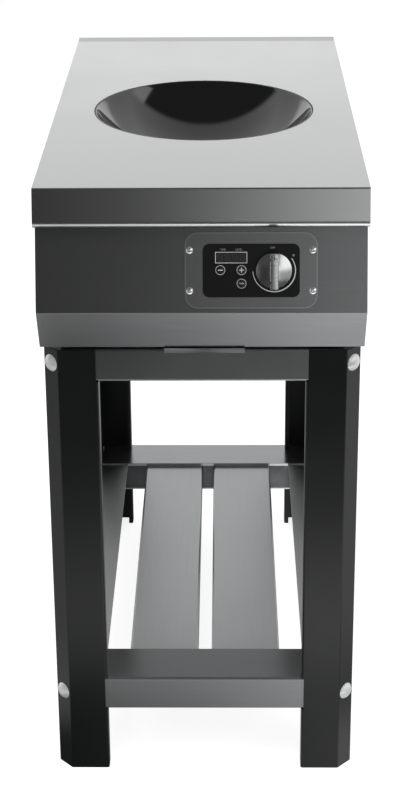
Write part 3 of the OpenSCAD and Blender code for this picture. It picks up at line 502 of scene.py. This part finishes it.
def bake(piece, matrix):
    """Move a piece by a matrix and apply it, so that the object sits at the origin."""
    bpy.ops.object.select_all(action="DESELECT")
    piece.select_set(True)
    bpy.context.view_layer.objects.active = piece
    piece.matrix_world = matrix
    bpy.ops.object.transform_apply(location=True, rotation=True, scale=True)
    return piece


def settle(piece, finish, body):
    """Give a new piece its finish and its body."""
    piece.data.materials.clear()
    piece.data.materials.append(finish)
    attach(piece, body)
    return piece


def copy_of(piece, name):
    """A copy with its own mesh."""
    twin = piece.copy()
    twin.data = piece.data.copy()
    twin.name = name
    twin.data.name = name
    scene.collection.objects.link(twin)
    return twin


def join_all(pieces, name):
    """Join several pieces into one."""
    bpy.ops.object.select_all(action="DESELECT")
    for piece in pieces:
        piece.select_set(True)
    bpy.context.view_layer.objects.active = pieces[0]
    if len(pieces) > 1:
        bpy.ops.object.join()
    joined = bpy.context.object
    joined.name = name
    joined.data.name = name
    return joined


def middle(name):
    """The middle of a solid-model piece's box."""
    low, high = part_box(name)
    return (Vector(low) + Vector(high)) / 2.0


print("worktop middle", [round(v, 4) for v in middle("worktop")])

# %% [markdown]
# ## Glass bowl
# The wok sits in a bowl of black glass-ceramic, pressed to a part of a sphere and polished. It
# could be a cut sphere, but the rim is flat and ground square, so a whole wall profile is drawn
# and spun. The glass is almost black and reflects a twentieth of what it sees, more at a
# glancing angle, which draws the pale crescent on its near side.

# %% Spin the bowl
glass_ceramic = speckled("polished black glass-ceramic", "#0a0a0b", "#0e0e0f", 0.06, 6.0, 0.001, 1.54)
glass_ceramic.node_tree.nodes["Principled BSDF"].inputs["Specular IOR Level"].default_value = 0.95
bowl_low, bowl_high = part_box("wok_bowl")
rim_out = (bowl_high[0] - bowl_low[0]) / 2.0 / MM
rim_top = bowl_high[2] / MM
GLASS = 5.0
RIM = 1.0
RINGS = 36
ROUND_STEPS = 160
depth = rim_top - bowl_low[2] / MM - GLASS
rim_in = rim_out - RIM
sphere_r = (rim_in ** 2 + depth ** 2) / (2.0 * depth)
sphere_z = rim_top - depth + sphere_r
wall = []
edge_in = math.asin((rim_in - 0.4) / sphere_r)
edge_out = math.asin((rim_out - 0.3) / (sphere_r + GLASS))
for ring in range(RINGS + 1):
    lean = edge_in * ring / RINGS
    wall.append((sphere_r * math.sin(lean), sphere_z - sphere_r * math.cos(lean)))
wall += [(rim_in, rim_top - 0.12), (rim_in + 0.3, rim_top), (rim_out - 0.3, rim_top),
         (rim_out, rim_top - 0.3)]
for ring in range(RINGS, -1, -1):
    lean = edge_out * ring / RINGS
    wall.append(((sphere_r + GLASS) * math.sin(lean), sphere_z - (sphere_r + GLASS) * math.cos(lean)))
bowl = turned("glass_bowl", wall, ROUND_STEPS)
bowl_at = middle("wok_bowl")
bake(bowl, Matrix.Translation((bowl_at.x, bowl_at.y, 0.0)))
settle(bowl, glass_ceramic, "cooker")
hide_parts("wok_bowl")
print("bowl sphere", round(sphere_r, 1), "faces", len(bowl.data.polygons))

# %% [markdown]
# ## Seal
# Black silicone fills the gap round the bowl. It is tooled with a wet finger, so its face is a
# shallow hollow just below the steel. A small profile is spun for it.

# %% Spin the seal
silicone = speckled("black silicone seal", "#121213", "#19191a", 0.55, 1.5, 0.02)
seal_low, seal_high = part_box("bowl_seal")
seal_out = (seal_high[0] - seal_low[0]) / 2.0 / MM
seal_top = seal_high[2] / MM
seal_low_z = seal_low[2] / MM
FIT = 0.02
HOLLOW = 0.35
bead_in = rim_out + FIT
bead_out = seal_out - FIT
bead = [(bead_in, seal_low_z), (bead_in, seal_top - 0.1), (rim_out + 0.4, seal_top - HOLLOW),
        (seal_out - 0.4, seal_top - HOLLOW), (bead_out, seal_top - 0.1), (bead_out, seal_low_z),
        (bead_in, seal_low_z)]
seal = turned("bowl_seal_bead", bead, ROUND_STEPS)
bake(seal, Matrix.Translation((bowl_at.x, bowl_at.y, 0.0)))
settle(seal, silicone, "cooker")
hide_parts("bowl_seal")
print("seal outer radius", round(seal_out, 2))

# %% [markdown]
# ## The sloping panel
# The control pieces sit on a plate that leans back fifteen degrees. They are modelled flat, with
# X to the right, Y up the panel and Z out of it, and then laid on the panel by one matrix that
# starts at the plate's middle.

# %% Find the panel
TILT = math.radians(15.0)
PLATE = 1.5
FILM = 0.6
out_of_panel = Vector((0.0, -math.cos(TILT), math.sin(TILT)))
lay_on_panel = Matrix.Rotation(math.pi / 2.0 - TILT, 4, "X")
panel_at = middle("control_plate") - out_of_panel * PLATE * MM / 2.0
panel = Matrix.Translation(panel_at) @ lay_on_panel
unlay = panel.inverted()
film_top = PLATE + FILM


def on_panel(name):
    """Where a solid-model piece's middle lies on the panel, in millimetres."""
    spot = unlay @ middle(name)
    return spot.x / MM, spot.y / MM


def at_panel(x, y, z):
    """The matrix that lays a flat piece at a place on the panel, in millimetres."""
    return panel @ Matrix.Translation((x * MM, y * MM, z * MM))


knob_x, knob_y = on_panel("control_shaft")
print("knob at", round(knob_x, 2), round(knob_y, 2))
print("minus key at", [round(v, 2) for v in on_panel("minus_key")])

# %% [markdown]
# ## Painted highlight on the plate edge
# The rim of the plate shows as a thin light line round the dull face, where its edge catches the light.
# This line is a painted highlight. The distance to a rounded rectangle is worked out from the
# place on the panel, and the last millimetre and a half gets a lighter steel.

# %% Paint a highlight on the plate's edge
PLATE_CORNER = 16.0
EDGE_LIGHT_WIDTH = 1.6
plate_low, plate_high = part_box("control_plate")
half_w = (plate_high[0] - plate_low[0]) / 2.0 / MM
half_h = ((plate_high[2] - plate_low[2]) / MM - PLATE * math.sin(TILT)) / math.cos(TILT) / 2.0
tree = plate_steel.node_tree
spot = add(tree, "ShaderNodeTexCoord")
flat = add(tree, "ShaderNodeMapping",
           {"vector_type": "TEXTURE", "Location": panel_at, "Rotation": (math.pi / 2.0 - TILT, 0.0, 0.0),
            "Scale": (MM, MM, MM)}, {"Vector": spot.outputs["Object"]})
one_corner = add(tree, "ShaderNodeVectorMath", {"operation": "ABSOLUTE"}, {0: flat.outputs["Vector"]})
past_centre = add(tree, "ShaderNodeVectorMath",
                  {"operation": "SUBTRACT", 1: (half_w - PLATE_CORNER, half_h - PLATE_CORNER, 100.0)},
                  {0: one_corner.outputs["Vector"]})
outside = add(tree, "ShaderNodeVectorMath", {"operation": "MAXIMUM", 1: (0.0, 0.0, 0.0)},
              {0: past_centre.outputs["Vector"]})
from_centre = add(tree, "ShaderNodeVectorMath", {"operation": "LENGTH"}, {0: outside.outputs["Vector"]})
# The mask is 1 along the plate's rim, where a lighter steel colour is a painted highlight.
painted_edge_highlight = add(tree, "ShaderNodeMapRange",
             {"interpolation_type": "SMOOTHSTEP", "From Min": PLATE_CORNER - EDGE_LIGHT_WIDTH,
              "From Max": PLATE_CORNER - 0.4 * EDGE_LIGHT_WIDTH}, {"Value": from_centre.outputs["Value"]})
lighten(plate_steel, painted_edge_highlight.outputs["Result"], "#a8a9aa")
print("plate", round(2.0 * half_w, 1), "by", round(2.0 * half_h, 1))

# %% [markdown]
# ## Overlay film
# The black face is a polyester film, printed on its back and stuck to the plate. It has a
# smooth, slightly wavy skin. The display window is a smoked piece of the same film.

# %% Finish the film
overlay_film = speckled("black polyester film", "#0d0d0e", "#121213", 0.28, 3.0, 0.01, 1.33)
smoked_film = speckled("smoked display film", "#19191a", "#202021", 0.22, 3.0, 0.01)
white_ink = speckled("white screen ink", "#d0d0d0", "#dcdcdc", 0.50, 0.8, 0.01)
grey_ink = speckled("grey screen ink", "#8c8c8c", "#989898", 0.50, 0.8, 0.01)
ghost_ink = speckled("unlit display segment", "#2c2c2d", "#333334", 0.40, 0.8, 0.01)
dress(overlay_film, "control_overlay")
dress(smoked_film, "display_window")
print("overlay finish", nodes["control_overlay"].data.materials[0].name)

# %% [markdown]
# ## Printed marks
# Each mark is a sheet of ink a few hundredths of a millimetre thick. Bars and frames are flat
# planes that are inset and pushed up, rings are circles filled between two rims, and words are
# text turned into a mesh. They lie just proud of the film, so they never flicker with it.

# %% Tools for print
INK = 0.06
RING_STEPS = 144


def printed_bar(name, width, height):
    """A flat bar of ink with slightly rounded corners."""
    bpy.ops.object.select_all(action="DESELECT")
    bpy.ops.mesh.primitive_plane_add(size=1.0)
    piece = begin(name)
    bpy.ops.transform.resize(value=(width * MM, height * MM, 1.0))
    bpy.ops.mesh.bevel(offset=0.25 * min(width, height) * MM, segments=3, affect="VERTICES")
    bpy.ops.mesh.extrude_region_move(TRANSFORM_OT_translate={"value": (0.0, 0.0, INK * MM)})
    close()
    return piece


def printed_frame(name, width, height, line):
    """A rectangle of ink line: a plane, inset by the line's width, with its middle taken out."""
    bpy.ops.object.select_all(action="DESELECT")
    bpy.ops.mesh.primitive_plane_add(size=1.0)
    piece = begin(name)
    bpy.ops.transform.resize(value=(width * MM, height * MM, 1.0))
    bpy.ops.mesh.inset(thickness=line * MM)
    bpy.ops.mesh.delete(type="FACE")
    bpy.ops.mesh.select_all(action="SELECT")
    bpy.ops.mesh.extrude_region_move(TRANSFORM_OT_translate={"value": (0.0, 0.0, INK * MM)})
    close()
    return piece


def printed_ring(name, outer, inner, drift=(0.0, 0.0), cut=None):
    """Two circles bridged to a ring. Drift makes it a crescent, and cut leaves out a sector."""
    bpy.ops.object.select_all(action="DESELECT")
    bpy.ops.mesh.primitive_circle_add(vertices=RING_STEPS, radius=outer * MM)
    piece = begin(name)
    bpy.ops.mesh.primitive_circle_add(vertices=RING_STEPS, radius=inner * MM,
                                      location=(drift[0] * MM, drift[1] * MM, 0.0))
    bpy.ops.mesh.select_all(action="SELECT")
    bpy.ops.mesh.bridge_edge_loops()
    if cut:
        bpy.ops.mesh.select_mode(type="FACE")
        bpy.ops.mesh.select_all(action="DESELECT")
        bpy.ops.object.mode_set(mode="OBJECT")
        for face in piece.data.polygons:
            turn = math.degrees(math.atan2(face.center.y, face.center.x)) % 360.0
            face.select = cut[0] < turn < cut[1]
        bpy.ops.object.mode_set(mode="EDIT")
        bpy.ops.mesh.delete(type="FACE")
    bpy.ops.mesh.select_all(action="SELECT")
    bpy.ops.mesh.extrude_region_move(TRANSFORM_OT_translate={"value": (0.0, 0.0, INK * MM)})
    close()
    return piece


def printed_word(name, words, size):
    """A word of ink, centred on its place."""
    bpy.ops.object.select_all(action="DESELECT")
    bpy.ops.object.text_add()
    piece = bpy.context.object
    piece.name = name
    piece.data.body = words
    piece.data.size = size * MM
    piece.data.align_x = "CENTER"
    piece.data.align_y = "CENTER"
    piece.data.extrude = INK * MM / 2.0
    bpy.ops.object.convert(target="MESH")
    return bpy.context.object


print("ink thickness", INK)

# %% [markdown]
# ## Words and lines on the film
# The film carries a frame round the display, a word over each half of it, OFF over the knob, and
# an arc round the knob that grows thicker as the level rises, with a small ring at its start.

# %% Print the overlay
WORDS_UP = 9.5
OFF_UP = 26.6
display_x, display_y = on_panel("display_window")
prints = [
    (printed_frame("display_frame_print", 38.0, 13.4, 0.6), display_x, display_y, white_ink),
    (printed_word("off_print", "OFF", 3.4), knob_x - 1.4, knob_y + OFF_UP, grey_ink),
    (printed_word("time_print", "TIME", 3.0), display_x - 9.8, display_y + WORDS_UP, grey_ink),
    (printed_word("level_print", "LEVEL", 3.2), display_x + 9.2, display_y + WORDS_UP, grey_ink),
    (printed_ring("level_arc_print", 25.7, 24.9, (-0.3, 0.52), (36.0, 181.0)),
     knob_x + 0.6, knob_y - 0.8, white_ink),
    (printed_ring("low_mark_print", 1.25, 0.5), knob_x + 23.4, knob_y + 17.7, grey_ink),
]
for mark, x, y, ink in prints:
    bake(mark, at_panel(x, y, film_top))
    settle(mark, ink, "cooker")
print("prints", [row[0].name for row in prints])

# %% [markdown]
# ## Display digits
# With the power off, the digits of the display show faintly as slightly paler bars in the smoked
# film. One segment is a bar with rounded ends, and seven of them make a digit.

# %% Lay out the unlit digits
DIGITS = 4
DIGIT_PITCH = 8.8
SUNK = 0.2
level_spots = [(0.0, 4.0), (0.0, 0.0), (0.0, -4.0)]
upright_spots = [(-2.3, 2.0), (2.3, 2.0), (-2.3, -2.0), (2.3, -2.0)]
segments = []
for digit in range(DIGITS):
    digit_x = display_x + (digit - (DIGITS - 1) / 2.0) * DIGIT_PITCH
    for spots, size in ((level_spots, (3.6, 0.7)), (upright_spots, (0.7, 3.2))):
        for x, y in spots:
            bar = printed_bar("segment", *size)
            bake(bar, at_panel(digit_x + x, display_y + y, film_top - SUNK))
            segments.append(bar)
digits = join_all(segments, "display_digits")
settle(digits, ghost_ink, "cooker")
print("segments", len(segments))

# %% [markdown]
# ## Keys
# The three keys are round black caps that stand a little proud of the film. Each is turned with
# a soft edge and a collar that stops it falling out, and carries a white ring and a sign, which
# ride with it when it is pressed.

# %% Turn the keys and print their signs
key_satin = speckled("satin black polycarbonate", "#111112", "#171718", 0.36, 1.0, 0.01)
KEY_R = 6.3
KEY_TOP = film_top + 0.2
key_profile = [(0.0, -6.6), (2.0, -6.6), (2.0, -1.8), (7.5, -1.8), (7.5, -0.2), (KEY_R, -0.2),
               (KEY_R, KEY_TOP - 0.3), (KEY_R - 0.1, KEY_TOP - 0.1), (KEY_R - 0.35, KEY_TOP), (0.0, KEY_TOP)]
for key in ("minus_key", "plus_key", "timer_key"):
    key_x, key_y = on_panel(key)
    cap = turned(key + "_cap", key_profile, 72)
    bake(cap, at_panel(key_x, key_y, 0.0))
    settle(cap, key_satin, key)
    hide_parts(key)
    ring = printed_ring(key + "_ring", 5.65, 5.2)
    signs = [ring]
    if key == "timer_key":
        signs.append(printed_word("timer_sign", "TIMER", 2.4))
    else:
        signs.append(printed_bar("level_sign", 5.8, 0.95))
    if key == "plus_key":
        signs.append(printed_bar("upright_sign", 1.15, 5.8))
    sign = join_all(signs, key + "_print")
    bake(sign, at_panel(key_x, key_y, KEY_TOP))
    settle(sign, white_ink, key)
    print(key, "at", round(key_x, 2), round(key_y, 2))

# %% [markdown]
# ## Knob
# The knob is die-cast: a round skirt with a grip bar across it. The halves beside the bar fall
# away like a dome, so the left one mirrors the dark room and the right one the white screen. It
# could be cut flat, but then each half would show one even tone. A cylinder is cut by two grids,
# each pulled up to a block with a domed underside.

# %% Cut the knob
KNOB_R = 21.25
KNOB_H = 20.0
KNOB_LOW = film_top + 0.5
KNOB_HIGH = KNOB_LOW + KNOB_H
BAR = 11.0
DOME_R = 60.0
DOME_TOP = 9.6
DRAFT = 1.2
bpy.ops.object.select_all(action="DESELECT")
bpy.ops.mesh.primitive_cylinder_add(vertices=160, radius=KNOB_R * MM, depth=KNOB_H * MM,
                                    location=(0.0, 0.0, KNOB_H * MM / 2.0))
knob = begin("control_knob")
bpy.ops.object.mode_set(mode="OBJECT")
bpy.ops.object.transform_apply(location=True)
for side in (-1.0, 1.0):
    bpy.ops.object.select_all(action="DESELECT")
    bpy.ops.mesh.primitive_grid_add(x_subdivisions=24, y_subdivisions=24, size=1.0)
    block = begin("block")
    bpy.ops.mesh.extrude_region_move(TRANSFORM_OT_translate={"value": (0.0, 0.0, 1.0)})
    bpy.ops.object.mode_set(mode="OBJECT")
    for point in block.data.vertices:
        out = (point.co.x + 0.5) * KNOB_R
        up = point.co.y * 2.2 * KNOB_R
        height = DOME_TOP - ((BAR / 2.0 + out) ** 2 + up ** 2) / (2.0 * DOME_R)
        if point.co.z > 0.5:
            height = 1.5 * KNOB_H
            out -= DRAFT * (0.5 - point.co.x)
        point.co = Vector((side * (BAR / 2.0 + out), up, height)) * MM
    bpy.ops.object.mode_set(mode="EDIT")
    close()
    cut = knob.modifiers.new("dome", "BOOLEAN")
    cut.operation = "DIFFERENCE"
    cut.object = block
    bpy.context.view_layer.objects.active = knob
    bpy.ops.object.modifier_apply(modifier="dome")
    bpy.data.objects.remove(block)
print("knob faces", len(knob.data.polygons))

# %% [markdown]
# ## Knob edges
# Fingers wear the grip bar most, so its two long upper edges are well rounded. They catch a
# light line on the right and a dark one on the left. The other edges get a small bevel.

# %% Round the knob
BAR_ROUND = 1.5
SOFT = 0.6
bpy.ops.object.select_all(action="DESELECT")
knob.select_set(True)
bpy.context.view_layer.objects.active = knob
bpy.ops.object.mode_set(mode="EDIT")
bpy.ops.mesh.select_mode(type="EDGE")
bpy.ops.mesh.select_all(action="DESELECT")
bpy.ops.object.mode_set(mode="OBJECT")
for edge in knob.data.edges:
    ends = [knob.data.vertices[i].co / MM for i in edge.vertices]
    along_bar = abs(ends[0].x - ends[1].x) < 0.01
    edge.select = along_bar and min(end.z for end in ends) > KNOB_H - 0.01
bpy.ops.object.mode_set(mode="EDIT")
bpy.ops.mesh.bevel(offset=BAR_ROUND * MM, segments=5, affect="EDGES")
bpy.ops.object.mode_set(mode="OBJECT")
soften = knob.modifiers.new("soft edges", "BEVEL")
soften.width = SOFT * MM
soften.segments = 3
soften.limit_method = "ANGLE"
soften.angle_limit = math.radians(30.0)
bpy.ops.object.modifier_apply(modifier="soft edges")
bpy.ops.object.mode_set(mode="EDIT")
close(12.0)
bake(knob, at_panel(knob_x, knob_y, KNOB_LOW))
print("knob faces", len(knob.data.polygons))

# %% [markdown]
# ## Knob finish
# The casting is turned and metallised in silver. Turning leaves fine rings about 0.9 mm apart
# round the knob's axis, which show as faint bands. A dark line on the end of the bar is the
# pointer.

# %% Metallise the knob
RING_PITCH = 0.9
spun_silver = bpy.data.materials.new("metallised silver knob")
spun_silver.use_nodes = True
tree = spun_silver.node_tree
shader = tree.nodes["Principled BSDF"]
shader.inputs["Metallic"].default_value = 1.0
shader.inputs["Roughness"].default_value = 0.20
spot = add(tree, "ShaderNodeTexCoord")
hub = at_panel(knob_x, knob_y, 0.0).translation
centred = add(tree, "ShaderNodeVectorMath", {"operation": "SUBTRACT", 1: hub}, {0: spot.outputs["Object"]})
far = add(tree, "ShaderNodeVectorMath", {"operation": "LENGTH"}, {0: centred.outputs["Vector"]})
turning = add(tree, "ShaderNodeMath", {"operation": "MULTIPLY", 1: 1.0 / (RING_PITCH * MM)},
              {0: far.outputs["Value"]})
groove = add(tree, "ShaderNodeTexNoise", {"noise_dimensions": "1D", "Scale": 1.0, "Detail": 2.0},
             {"W": turning.outputs["Value"]})
tone = add(tree, "ShaderNodeMix", {"data_type": "RGBA", 6: linear("#c2c3c4"), 7: linear("#dcdddd")},
           {0: groove.outputs["Fac"]})
bump = add(tree, "ShaderNodeBump", {"Strength": 0.08, "Distance": 0.05 * MM},
           {"Height": groove.outputs["Fac"]})
tree.links.new(tone.outputs[2], shader.inputs["Base Color"])
tree.links.new(bump.outputs["Normal"], shader.inputs["Normal"])
settle(knob, spun_silver, "knob")
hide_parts("knob")
pointer = printed_bar("knob_pointer", 1.0, 6.0)
bake(pointer, at_panel(knob_x, knob_y + KNOB_R - 4.6, KNOB_HIGH))
settle(pointer, ghost_ink, "knob")
print("knob finish", spun_silver.name)

# %% [markdown]
# ## Screws and bolts
# The plate is held by button-head screws and the stand by large plain dome-head bolts. Both start
# as a dome spun on a shank. The screws also get a six-sided socket, cut with a prism, and a dark
# six-sided disc on its floor, which is painted shade for the depth of the socket. The screws are bright
# zinc, and the bolts have a softer, satin plate.

# %% Tools for heads
screw_zinc = ground_steel("polished zinc plate", "#e9eaea", 0.18, "Z", 0.05, 0.8, 0.0, metallic=0.92)
satin_nickel = ground_steel("satin nickel plate", "#dcdddd", 0.32, "Z", 0.05, 0.8, 0.0, metallic=0.3)
SOCKET_FLOOR = 0.4
DOME_RINGS = 9


def button_head(name, radius, height, shank_r, shank):
    """A dome on a shank, standing on z = 0. Sizes in millimetres."""
    ball = (radius ** 2 + height ** 2) / (2.0 * height)
    lean = math.asin(radius / ball)
    profile = [(0.0, -shank), (shank_r, -shank), (shank_r, 0.0), (radius, 0.0)]
    for ring in range(DOME_RINGS):
        angle = lean * (1.0 - (ring + 0.35) / (DOME_RINGS + 0.35))
        profile.append((ball * math.sin(angle), height - ball + ball * math.cos(angle)))
    profile.append((0.0, height))
    return turned(name, profile, 48)


def cut_socket(head, height, socket):
    """Cut a six-sided socket into a head, and make the dark disc of painted shade that lies on its floor."""
    bpy.ops.object.select_all(action="DESELECT")
    bpy.ops.mesh.primitive_cylinder_add(vertices=6, radius=socket * MM, depth=2.0 * height * MM,
                                        location=(0.0, 0.0, (height + SOCKET_FLOOR) * MM))
    prism = bpy.context.object
    cut = head.modifiers.new("socket", "BOOLEAN")
    cut.operation = "DIFFERENCE"
    cut.object = prism
    bpy.context.view_layer.objects.active = head
    bpy.ops.object.modifier_apply(modifier="socket")
    bpy.data.objects.remove(prism)
    bpy.ops.object.select_all(action="DESELECT")
    head.select_set(True)
    bpy.ops.object.mode_set(mode="EDIT")
    close(32.0)
    bpy.ops.object.select_all(action="DESELECT")
    # The disc is painted shade: a dark piece on the socket's floor, where the depth of the socket would be
    # in shade.
    bpy.ops.mesh.primitive_cylinder_add(vertices=6, radius=0.98 * socket * MM, depth=INK * MM,
                                        location=(0.0, 0.0, (SOCKET_FLOOR + INK) * MM))
    return bpy.context.object


def fix_heads(pattern, places, name, finish, replaced=None):
    """Copy a pattern to each place, join the copies and remove the pattern."""
    copies = [bake(copy_of(pattern, "head_copy"), place) for place in places]
    bpy.data.objects.remove(pattern)
    fixed = settle(join_all(copies, name), finish, "cooker")
    if replaced:
        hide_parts(replaced)
    print(name, len(copies))


def socket_screws(name, places, radius, height, shank, socket, replaced):
    """Screws with a socket at each place, and the dark discs of painted shade in their sockets."""
    screw = button_head("screw_pattern", radius, height, 2.0, shank)
    socket_shade_disc = cut_socket(screw, height, socket)
    fix_heads(screw, places, name, screw_zinc, replaced)
    fix_heads(socket_shade_disc, places, name + "_painted_socket_shade", key_satin)


print("socket floor", SOCKET_FLOOR)

# %% Screw down the plate
SCREW_X = 73.4
SCREW_Y = 24.3
spots = [at_panel(x, y, PLATE) for x in (-SCREW_X, SCREW_X) for y in (-SCREW_Y, SCREW_Y)]
socket_screws("plate_button_screws", spots, 4.5, 2.4, 8.0, 1.7, "control_plate_screws")

# %% [markdown]
# ## Leg bolts
# A bolt sits on the chamfer of each leg, near its top and near the shelf, and faces out along
# the corner. The seat is found from the corner of the leg's box.

# %% Bolt the legs
CHAMFER = 18.0
UPPER_BOLT = 588.0
LOWER_BOLT = 115.0
spots = []
for leg, (out_x, out_y) in zip(LEGS, ((-1, -1), (1, -1), (-1, 1), (1, 1))):
    leg_low, leg_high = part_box(leg)
    corner_x = leg_low[0] if out_x < 0 else leg_high[0]
    corner_y = leg_low[1] if out_y < 0 else leg_high[1]
    outward = Vector((out_x, out_y, 0.0)).normalized()
    facing = outward.to_track_quat("Z", "Y").to_matrix().to_4x4()
    seat_x = corner_x - out_x * CHAMFER * MM / 2.0
    seat_y = corner_y - out_y * CHAMFER * MM / 2.0
    for height in (UPPER_BOLT, LOWER_BOLT):
        spots.append(Matrix.Translation((seat_x, seat_y, height * MM)) @ facing)
bolt = button_head("leg_bolt", 11.0, 5.5, 5.0, 18.0)
fix_heads(bolt, spots, "leg_button_bolts", satin_nickel, "leg_bolts")

# %% [markdown]
# ## Rear screws
# The rear panel is held by six small button-head screws, the same head at a smaller size. They
# face backwards, so each copy is turned a quarter round X before it is set on the panel.

# %% Fix the rear panel
REAR_HEAD_R = 4.0
rear_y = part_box("rear_panel")[1][1]
screw_low, screw_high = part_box("rear_panel_screws")
inset = REAR_HEAD_R * MM
face_back = Matrix.Rotation(-math.pi / 2.0, 4, "X")
spots = []
for x in (screw_low[0] + inset, 0.0, screw_high[0] - inset):
    for z in (screw_low[2] + inset, screw_high[2] - inset):
        spots.append(Matrix.Translation((x, rear_y, z)) @ face_back)
socket_screws("rear_button_screws", spots, REAR_HEAD_R, 1.8, 6.0, 1.5, "rear_panel_screws")

# %% [markdown]
# ## Filter mesh
# The drawer holds a mat of woven wire that keeps grease out of the fan. A grid with a square for
# every 2.6 mm is turned into wires by the Wireframe modifier, which is coarser than the real
# weave but reads as mesh at this scale.

# %% Weave the filter mesh
mesh_low, mesh_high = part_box("filter_mesh")
mesh_w = mesh_high[0] - mesh_low[0]
mesh_d = mesh_high[1] - mesh_low[1]
MESH_PITCH = 2.6
WIRE = 0.7
x_count = round(mesh_w / MM / MESH_PITCH)
y_count = round(mesh_d / MM / MESH_PITCH)
bpy.ops.object.select_all(action="DESELECT")
bpy.ops.mesh.primitive_grid_add(x_subdivisions=x_count, y_subdivisions=y_count, size=1.0)
weave = begin("woven_filter_mesh")
bpy.ops.transform.resize(value=(mesh_w - 1.0 * MM, mesh_d - 1.0 * MM, 1.0))
bpy.ops.object.mode_set(mode="OBJECT")
wires = weave.modifiers.new("wires", "WIREFRAME")
wires.thickness = WIRE * MM
wires.use_boundary = True
bpy.ops.object.modifier_apply(modifier="wires")
bake(weave, Matrix.Translation(middle("filter_mesh")))
settle(weave, sawn_aluminium, "filter")
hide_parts("filter_mesh")
print("mesh faces", len(weave.data.polygons))
